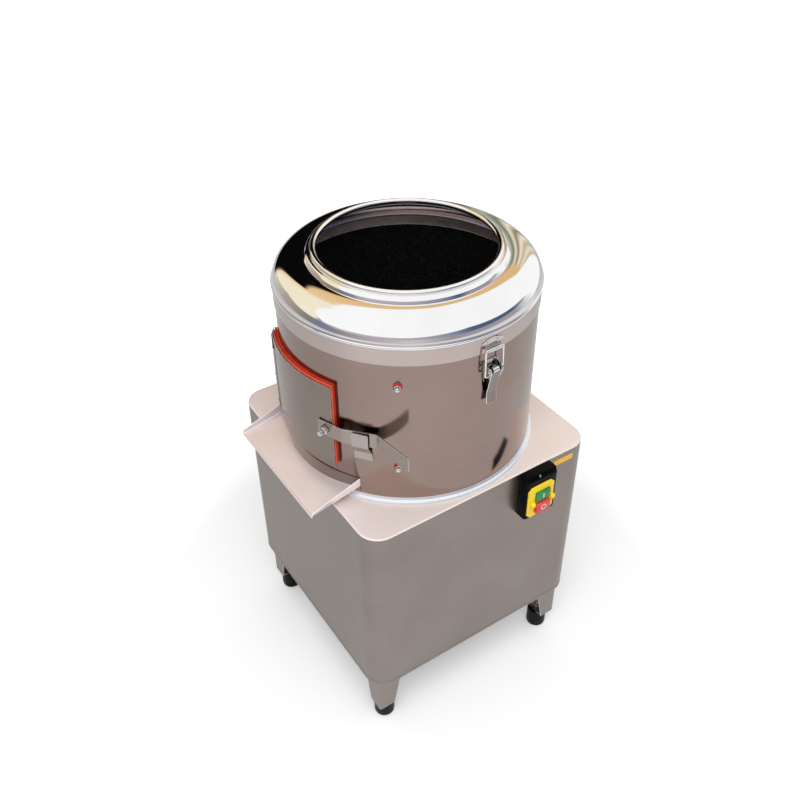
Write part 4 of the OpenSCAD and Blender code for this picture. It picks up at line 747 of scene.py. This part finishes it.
# ---------- chute ----------
# tray: floor and two upright sides, sloping down from the drum to its hem, the sides taller at the drum
LIP, SIDE = 3.5, 17
lip = spaced(bent([[-CHUTE_HALF, SIDE], [-CHUTE_HALF, 0], [CHUTE_HALF, 0], [CHUTE_HALF, SIDE]],
                  [0, LIP, LIP, 0], 7), 6)
drum_end = DRUM_Y - np.sqrt(200.4 ** 2 - lip[:, 0] ** 2)
tray_y = CHUTE_FRONT + np.linspace(0, 1, 26)[:, None] * (drum_end - CHUTE_FRONT)[None]
past_hem = tray_y - CHUTE_FRONT
tall = 7 + 10 * past_hem / 86.0
across, rise = lip[None, :, 0], lip[None, :, 1]
rise = np.where(rise > LIP, LIP + (rise - LIP) * (tall - LIP) / (SIDE - LIP), rise)
tray = grid(across, tray_y, CHUTE_LOW + past_hem * np.tan(np.radians(CHUTE_SLOPE)) + rise)
piece("chute_tray", "frame", chute_painted_light_steel, thick(tray, SHEET, SHEET / 2), ["chute"], edge=0.7, rim=edge_highlight_paint)
HEM_HALF = 116.3
curl_x = stations(2 * HEM_HALF, 1.5, 20) - HEM_HALF
curl = grid(curl_x, -253.7, 483.0)
shrink = (1 - 0.5 * np.clip(1 - (HEM_HALF - abs(curl_x)) / 1.5, 0, 1) ** 2)[:, None] * np.ones(2)
piece("chute_hem", "frame", chute_painted_light_steel, [carried(circle(1.6, 16), curl, Z, shrink)])
flange = on_drum(np.linspace(-35.2, 35.2, 50)[:, None], 201.5, (493 + stations(25, 2, 6))[None])
piece("chute_flange", "frame", door_steel, thick(flange, 1.4), edge=0.4)


# ---------- toggle latches ----------
def catch_hook():
    """Plate on the band, arched at its top and drawn in to the hook below it: a strip of (radius, height)
    points that is as wide as its height says, and lies round the band where the plate is flat on it."""
    flat = bent([[202.4, 759], [202.4, 748.5], [203.65, 745.5], [203.65, 743.4]], [0, 2, 1.5, 0], 6)
    strip = np.concatenate([flat, arc(206.8, 742.95, 3.15, 3.15, sweep(180, 360, 19)), [[209.95, 744.9]]])
    strip = spaced(strip, 1.5)
    wide = np.interp(strip[:, 1], [739, 746.5, 755, 759], [12.9, 12.9, 18.3, 18.3])
    wide = np.where(strip[:, 0] > 203.7, 12.9, wide)
    u = np.sin(np.linspace(-90, 90, 17) * np.pi / 180)
    t = wide[:, None] * u
    on_skirt = np.clip((strip[:, 1:] - 745.5) / 4, 0, 1) * (strip[:, :1] < 203)
    r = strip[:, :1] - on_skirt * (202.4 - np.sqrt(202.4 ** 2 - t ** 2))
    z = strip[:, 1:] - 6.0 * u ** 2 * np.clip((strip[:, 1:] - 749) / 10, 0, 1)
    return thick(grid(t, r, z), SHEET, SHEET / 2)


def lever_tongue():
    """Strip curled over the pin and running down to its flared lip: (radius, height) points with a width that
    narrows upwards, drawn in at the lip's corners."""
    strip = np.concatenate([arc(LEVER_PIN[1], LEVER_PIN[2], 3.25, 3.25, sweep(222, -6, 25)),
                            bent([[213.1, 707.4], [204.75, 666], [206.75, 648]], [0, 9, 0], 9)])
    strip = spaced(strip, 2.5)
    lengths = run_of(strip)
    wide = np.interp(strip[:, 1], [648, 655, 664, 695, 713], [9.6, 9.2, 8.7, 8.7, 8.0])
    wide = wide - corner_in(lengths[-1] - lengths, 2.5)
    return thick(grid(wide[:, None] * np.linspace(-1, 1, 9), strip[:, :1], strip[:, 1:]), 1.3, 0.65)


def base_pad():
    """Plate riveted to the drum, bent to its round: the radius squared less the distance across squared."""
    up = 685 + stations(38, 4, 12)
    t = (11.8 - end_in(up, 685, 723, 4))[:, None] * np.linspace(-1, 1, 11)
    return thick(grid(t, np.sqrt(200.85 ** 2 - t ** 2), up[:, None]), SHEET, SHEET / 2)


def pair(profile, x):
    """Two upright plates over a profile of (radius, height) points, at x to both sides."""
    return [slab(profile, -SHEET / 2, SHEET / 2, 0.3, (side, 0, 0), Y, Z) for side in (-x, x)]


# bail: wire bent at four corners, thicker where it lies in the hook
wire = spaced(bent([[8.2, 208, 699.5], [15.4, 208, 699.5], [15.4, 206.8, 742.5], [-15.4, 206.8, 742.5],
                    [-15.4, 208, 699.5], [-8.2, 208, 699.5]], [0, 2.6, 2.9, 2.9, 2.6, 0], 7), 2.0)
stout = (1 + 0.45 * np.clip((wire[:, 2:] - 738) / 3.5, 0, 1)) * np.ones(2)
rivet_head = bent([[0, 1.5], [1.6, 1.5], [2.5, 0.2], [2.5, -0.8], [0, -0.8]], [0, 0.6, 0.3, 0, 0], 4)
roller = bent([[3.7, -5.4], [4.15, -5.4], [4.15, 5.4], [3.7, 5.4], [3.7, -5.4]], [0, 0.3, 0.3, 0, 0], 3)
bush = bent([[3.7, 5.5], [4.1, 5.5], [4.1, 8.3], [3.7, 8.3], [3.7, 5.5]], [0, 0.2, 0.2, 0, 0], 3)
cheek = bent([[205.2, 696.6], [208.6, 695.4], [211.4, 695.0], [214.1, 707.5], [213.2, 713.2], [207.2, 713.0]],
             [1.6, 1.6, 1.2, 3, 2.2, 2.2], 5, closed=True)
ear = bent([[200.6, 703.2], [214.5, 704.5], [214.5, 713.5], [200.6, 717]], [0, 4.4, 4.4, 0], 7, closed=True)
pivot = bent([[0, -12.8], [2.2, -12.8], [3.1, -12.2], [3.1, -11.9], [2, -11.8], [2, 11.8], [3.1, 11.9],
              [3.1, 12.2], [2.2, 12.8], [0, 12.8]], [0, 0.4, 0.2, 0, 0, 0, 0, 0.2, 0.4, 0], 3)
barrel_parts = [turned(roller, LEVER_PIN, X, Z, 32)]
bush_parts = [turned(bush, LEVER_PIN, X, Z, 32), turned(bush * (1, -1), LEVER_PIN, X, Z, 32)]
catch_rivets = [turned(rivet_head, (x, 203.0, 753.5), Y, X, 20) for x in (-9, 9)]
ear_parts = pair(ear, 11.05) + [turned(pivot, LEVER_PIN, X, Z, 24)]
ear_parts += [turned(rivet_head * (1, 0.7), (0, 201.5, z), Y, X, 20) for z in (689.5, 719)]
for hand, a in (("right", TOGGLE_A), ("left", -TOGGLE_A)):
    lever, bail = "lever_" + hand, "bail_" + hand
    for name, body, paint, parts, replaced, edge, rim in (
            ("catch_" + hand + "_hook", "cover", fitting_steel, catch_hook(), ["catch_" + hand], 0.5, edge_highlight_paint),
            ("catch_" + hand + "_rivets", "cover", fitting_steel, catch_rivets, (), 0, None),
            (bail + "_wire", bail, wire_steel, [carried(circle(1.5, 14), wire, Y, stout)], [bail], 0, None),
            (lever + "_tongue", lever, lever_reflection_steel, lever_tongue(), ["toggle_" + lever], 0.5, edge_highlight_paint),
            (lever + "_barrel", lever, wire_steel, barrel_parts, (), 0, None),
            (lever + "_bushes", lever, black_abs, bush_parts, (), 0, None),
            (lever + "_cheeks", lever, fitting_steel, pair(cheek, 9.25), (), 0, None),
            ("toggle_" + hand + "_pad", "frame", fitting_steel, base_pad(), ["toggle_base_" + hand], 0.4, None),
            ("toggle_" + hand + "_ears", "frame", fitting_steel, ear_parts, (), 0, None)):
        piece(name, body, paint, at_side(parts, a), replaced, edge=edge, rim=rim)


# ---------- switch ----------
def case_ring(x, y0, y1, z0, z1, r):
    """Rounded rectangle across Y and Z at x, every one with the same number of points."""
    flat = rectangle(y1 - y0, z1 - z0, r, 4) + ((y0 + y1) / 2, (z0 + z1) / 2)
    return np.concatenate([np.full((len(flat), 1), float(x)), flat], 1)


# box: back, sides, sloping shoulder, front face, and the well behind the buttons
box = [(212.05, 64.8, 125.2, 391.3, 477.7, 1.2), (212.4, 64.5, 125.5, 391, 478, 1.5),
       (227.6, 64.5, 125.5, 391, 478, 1.5), (228.4, 64.7, 125.3, 391.1, 477.2, 1.8),
       (230.4, 65.0, 125.0, 391.5, 474.4, 2.2), (232.2, 65.5, 124.5, 392.4, 471.9, 2.6),
       (232.8, 66.1, 123.9, 393.4, 470.6, 2.6), (233, 67, 123, 394.6, 469.4, 2.6),
       (233, 80.2, 109.8, 403.7, 447.3, 0.6), (232.6, 80.6, 109.4, 404.1, 446.9, 0.6),
       (214.5, 80.6, 109.4, 404.1, 446.9, 0.6)]
piece("switch_case", "frame", black_abs, [loft([case_ring(*row) for row in box])], ["switch_box"])
screw = bent([[0, 1.0], [1.6, 0.9], [2.1, 0.3], [2.1, -0.5], [0, -0.5]], [0, 0.6, 0.3, 0, 0], 4)
piece("switch_screw", "frame", zinc, [turned(screw, (230.2, 91.0, 474.9), (7, 0, 5), Y, 20)])

# yellow frame: a sheet over a grid of lines, its corner points moved on to the cut corners, its windows cut out
frame_y, frame_z = np.meshgrid([-26.5, -19.5, -11.3, 3, 17.3, 19.5, 26.5],
                               [397, 404, 425.3, 427.7, 447.3, 454, 461.0], indexing="ij")
at_corner = (abs(frame_y) > 26) & ((frame_z < 398) | (frame_z > 460))
frame_y = np.where(at_corner, np.sign(frame_y) * 23.0, frame_y)
frame_z = np.where(at_corner, np.where(frame_z > 429, 457.5, 400.5), frame_z)


def in_bezel_window(p):
    """Whether points lie in one of the two windows, behind the keys."""
    y, z = p[:, 1], p[:, 2]
    return (abs(y - KEY_Y) < 14.25) & (((z > 404) & (z < 425)) | ((z > 428) & (z < 447)))


piece("switch_bezel_frame", "frame", yellow_abs, [(grid(236.0, 92 + frame_y, frame_z), False, False)],
      ["switch_bezel"], wall=2.95, edge=1.1, cut=in_bezel_window)
post = bent([[0, -0.5], [5, -0.5], [5, 5.6], [3.9, 7.9], [0, 7.9]], [0, 0, 1.6, 1.2, 0], 5)
piece("switch_bezel_posts", "frame", yellow_abs,
      [turned(post, (233.1, KEY_Y + y, 425), X, Y, 32) for y in (-20, 20)])
for name, z, h, front, paint in (("start", 437.5, 19, 239.0, green_abs), ("stop", 414.5, 21, 241.7, red_abs)):
    key_at = (0, KEY_Y, z)
    key = slab(rectangle(KEY_W, h, 1.6), 227, front, 1.0, key_at, Y, Z)
    piece(name + "_key", name + "_button", paint, [key], [name + "_button"])
    if name == "start":
        mark = slab(rectangle(2.4, 9, 0.5), front - 0.4, front + 0.25, 0.15, key_at, Y, Z)
    else:
        mark = turned(joined(rectangle(1.7, 0.7, 0.25, 3) + (4.6, front - 0.05)), key_at, X, Y, 40)
    piece(name + "_mark", name + "_button", mark_print, [mark])
piece("amber_strip", "frame", amber_film, [slab(rectangle(40, 11, 1.2), *AMBER, 0.1, (0, 156, 462.5), Y, Z)])

# ---------- everything that keeps its shape from the frame ----------
kept = {
    cabinet_steel: ["cabinet_shell", "rear_panel"],
    door_steel: ["drum_floor", "drain_pipe", "disc_plate"],
    zinc: ["panel_screws", "frame_bolts", "disc_nut"],
    ground: ["motor_stator", "motor_rotor", "main_shaft", "shaft_bearings"],
    iron_paint: ["motor_housing", "motor_pulley", "shaft_pulley", "bearing_housing"],
    rail_enamel: ["cross_frame", "motor_bracket"],
    foot_rubber: ["shaft_seal"],
    belt_rubber: ["drive_belt"],
    black_abs: ["motor_fan_cover", "terminal_box", "cable_gland"],
    black_grit: ["disc_abrasive"],
}
for paint, names in kept.items():
    for name in names:
        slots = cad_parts[name].data.materials
        slots.clear()
        slots.append(paint[0])

# ---------- room ----------
# floor: matt white, as bright as the room to the camera away from the object, and a faint glow on the switch
# side that only polished metal sees
REACH = 6.0
floor_mesh = bpy.data.meshes.new("floor")
floor_mesh.from_pydata([(-REACH, -REACH, 0), (REACH, -REACH, 0), (REACH, REACH, 0), (-REACH, REACH, 0)], [],
                       [(0, 1, 2, 3)])
floor = bpy.data.objects.new("floor", floor_mesh)
bpy.context.scene.collection.objects.link(floor)
floor_paint, tree, shader, place = finish_of("matt_white_floor")
shader.inputs["Base Color"].default_value = colour("f0f0f0")
shader.inputs["Roughness"].default_value = 0.9
shader.inputs["Specular IOR Level"].default_value = 0.0
shader.inputs["Emission Color"].default_value = (1, 1, 1, 1)
rays = node(tree, "LightPath").outputs
away = node(tree, "VectorMath", {0: place}, operation="LENGTH").outputs["Value"]
white = node(tree, "MapRange", {"Value": away, "From Min": 0.5, "From Max": 1.0, "To Min": 0.25, "To Max": 1.0})
side = node(tree, "SeparateXYZ", {0: place}).outputs[0]
bounce = node(tree, "MapRange", {"Value": side, "From Min": -0.1, "From Max": 0.36,
                                 "To Min": 0.0, "To Max": 0.13})
bounce = node(tree, "Math", {0: rays["Is Glossy Ray"], 1: bounce.outputs[0]}, operation="MULTIPLY").outputs[0]
glow = node(tree, "Math", {0: rays["Is Camera Ray"], 1: white.outputs[0], 2: bounce}, operation="MULTIPLY_ADD")
tree.links.new(glow.outputs[0], shader.inputs["Emission Strength"])
floor_mesh.materials.append(floor_paint)

# The room as polished metal shows it: by the angle round the object from the front towards the switch side, an
# upper and a lower wall colour between two heights, and the pale ceiling above both.
world = bpy.data.worlds.new("studio")
bpy.context.scene.world = world
world.use_nodes = True
tree = world.node_tree
back = tree.nodes["Background"]
ways = node(tree, "SeparateXYZ", {0: node(tree, "TexCoord").outputs["Generated"]}).outputs
front_way = node(tree, "Math", {0: ways[1], 1: -1.0}, operation="MULTIPLY").outputs[0]
turn = node(tree, "Math", {0: ways[0], 1: front_way}, operation="ARCTAN2").outputs[0]
turn = node(tree, "Math", {0: turn, 1: 1 / (2 * np.pi), 2: 1.0}, operation="MULTIPLY_ADD").outputs[0]
turn = node(tree, "Math", {0: turn}, operation="FRACT").outputs[0]
height = node(tree, "Math", {0: ways[2]}, operation="ARCSINE").outputs[0]
height = node(tree, "Math", {0: height, 1: 2 / np.pi}, operation="MULTIPLY").outputs[0]


def round_room(stops):
    """Colours or heights round the room, from (degrees, colour or height in degrees) pairs: a ramp over the
    share of a full turn, where a height is written as its share of 90 degrees."""
    made = [(d / 360, colour(v) if isinstance(v, str) else (v / 90, v / 90, v / 90, 1)) for d, v in stops]
    return node(tree, "ValToRGB", {0: turn}, made).outputs[0]


def above(edge, soft):
    """Share of the way across a soft edge, soft degrees wide on each side."""
    over = node(tree, "Math", {0: height, 1: edge}, operation="SUBTRACT").outputs[0]
    return node(tree, "MapRange", {"Value": over, "From Min": -soft / 90, "From Max": soft / 90}).outputs[0]


WHITE = (1, 1, 1, 1)
ceiling = round_room([(0, 22), (60, 25), (90, 30), (110, 32), (165, 18), (175, 5), (205, 10), (208, 35),
                      (230, 50), (278, 57), (300, 57), (335, 30), (345, 22), (360, 22)])
midline = round_room([(0, 14), (90, 14), (100, 12), (160, 12), (208, 30), (236, 33), (244, 40), (275, 42),
                      (277, 0), (300, 18), (345, 18), (360, 14)])
upper = round_room([(0, "b9b6c0"), (60, "b3a9b0"), (90, "8e93a8"), (110, "51607f"), (150, "4c5978"),
                    (165, "a0a3b0"), (175, "ffffff"), (205, "ffffff"), (208, "e2b987"), (245, "e6bd8a"),
                    (277, "f2cf9f"), (280, "f6ecd2"), (335, "f6ecd2"), (340, "8f97ab"), (360, "b9b6c0")])
lower = round_room([(0, "8d858b"), (60, "cfc6c6"), (90, "a0979f"), (150, "a39aa2"), (175, "ffffff"),
                    (205, "ffffff"), (207, "b79f7f"), (209, "f7ecd6"), (212, "c4ad8b"), (215, "f7ecd6"),
                    (218, "8d7a60"), (221, "f2e6cf"), (224, "5d6a5c"), (227, "b8c0b0"), (230, "1a1412"),
                    (240, "0a0808"), (275, "050505"), (278, "d8cfc4"), (300, "b3a99c"), (330, "8a8078"),
                    (345, "7a7890"), (360, "8d858b")])
room = node(tree, "Mix", {0: above(midline, 1.2), 6: lower, 7: upper}, data_type="RGBA").outputs[2]
room = node(tree, "Mix", {0: above(ceiling, 1.5), 6: room, 7: WHITE}, data_type="RGBA").outputs[2]
rays = node(tree, "LightPath").outputs
shown = node(tree, "Mix", {0: rays["Is Glossy Ray"], 6: WHITE, 7: room}, data_type="RGBA").outputs[2]
seen = node(tree, "Math", {0: rays["Is Camera Ray"], 1: rays["Is Glossy Ray"]}, operation="MAXIMUM").outputs[0]
seen = node(tree, "Math", {0: seen, 1: rays["Is Transmission Ray"]}, operation="MAXIMUM").outputs[0]
strength = node(tree, "MapRange", {"Value": seen, "To Min": 0.55, "To Max": 1.0})
tree.links.new(shown, back.inputs["Color"])
tree.links.new(strength.outputs[0], back.inputs["Strength"])

# one square soft lamp, high on the camera's side and turned to the cabinet; polished metal doesn't show it
LAMP_AT, LAMP_AIM, LAMP_SIZE, LAMP_WATTS = (1.1, -0.75, 2.6), (0, 0, 0.4), 1.7, 42
lamp_data = bpy.data.lights.new("key", "AREA")
lamp_data.shape, lamp_data.size, lamp_data.energy = "SQUARE", LAMP_SIZE, LAMP_WATTS
lamp = bpy.data.objects.new("key", lamp_data)
lamp_z = unit(np.array(LAMP_AT, float) - np.array(LAMP_AIM, float))
lamp_x = unit(np.cross(Z, lamp_z))
lamp.matrix_world = stood([lamp_x, np.cross(lamp_z, lamp_x), lamp_z], LAMP_AT)
lamp.visible_glossy = False
bpy.context.scene.collection.objects.link(lamp)

bpy.context.scene.view_settings.view_transform = "Standard"
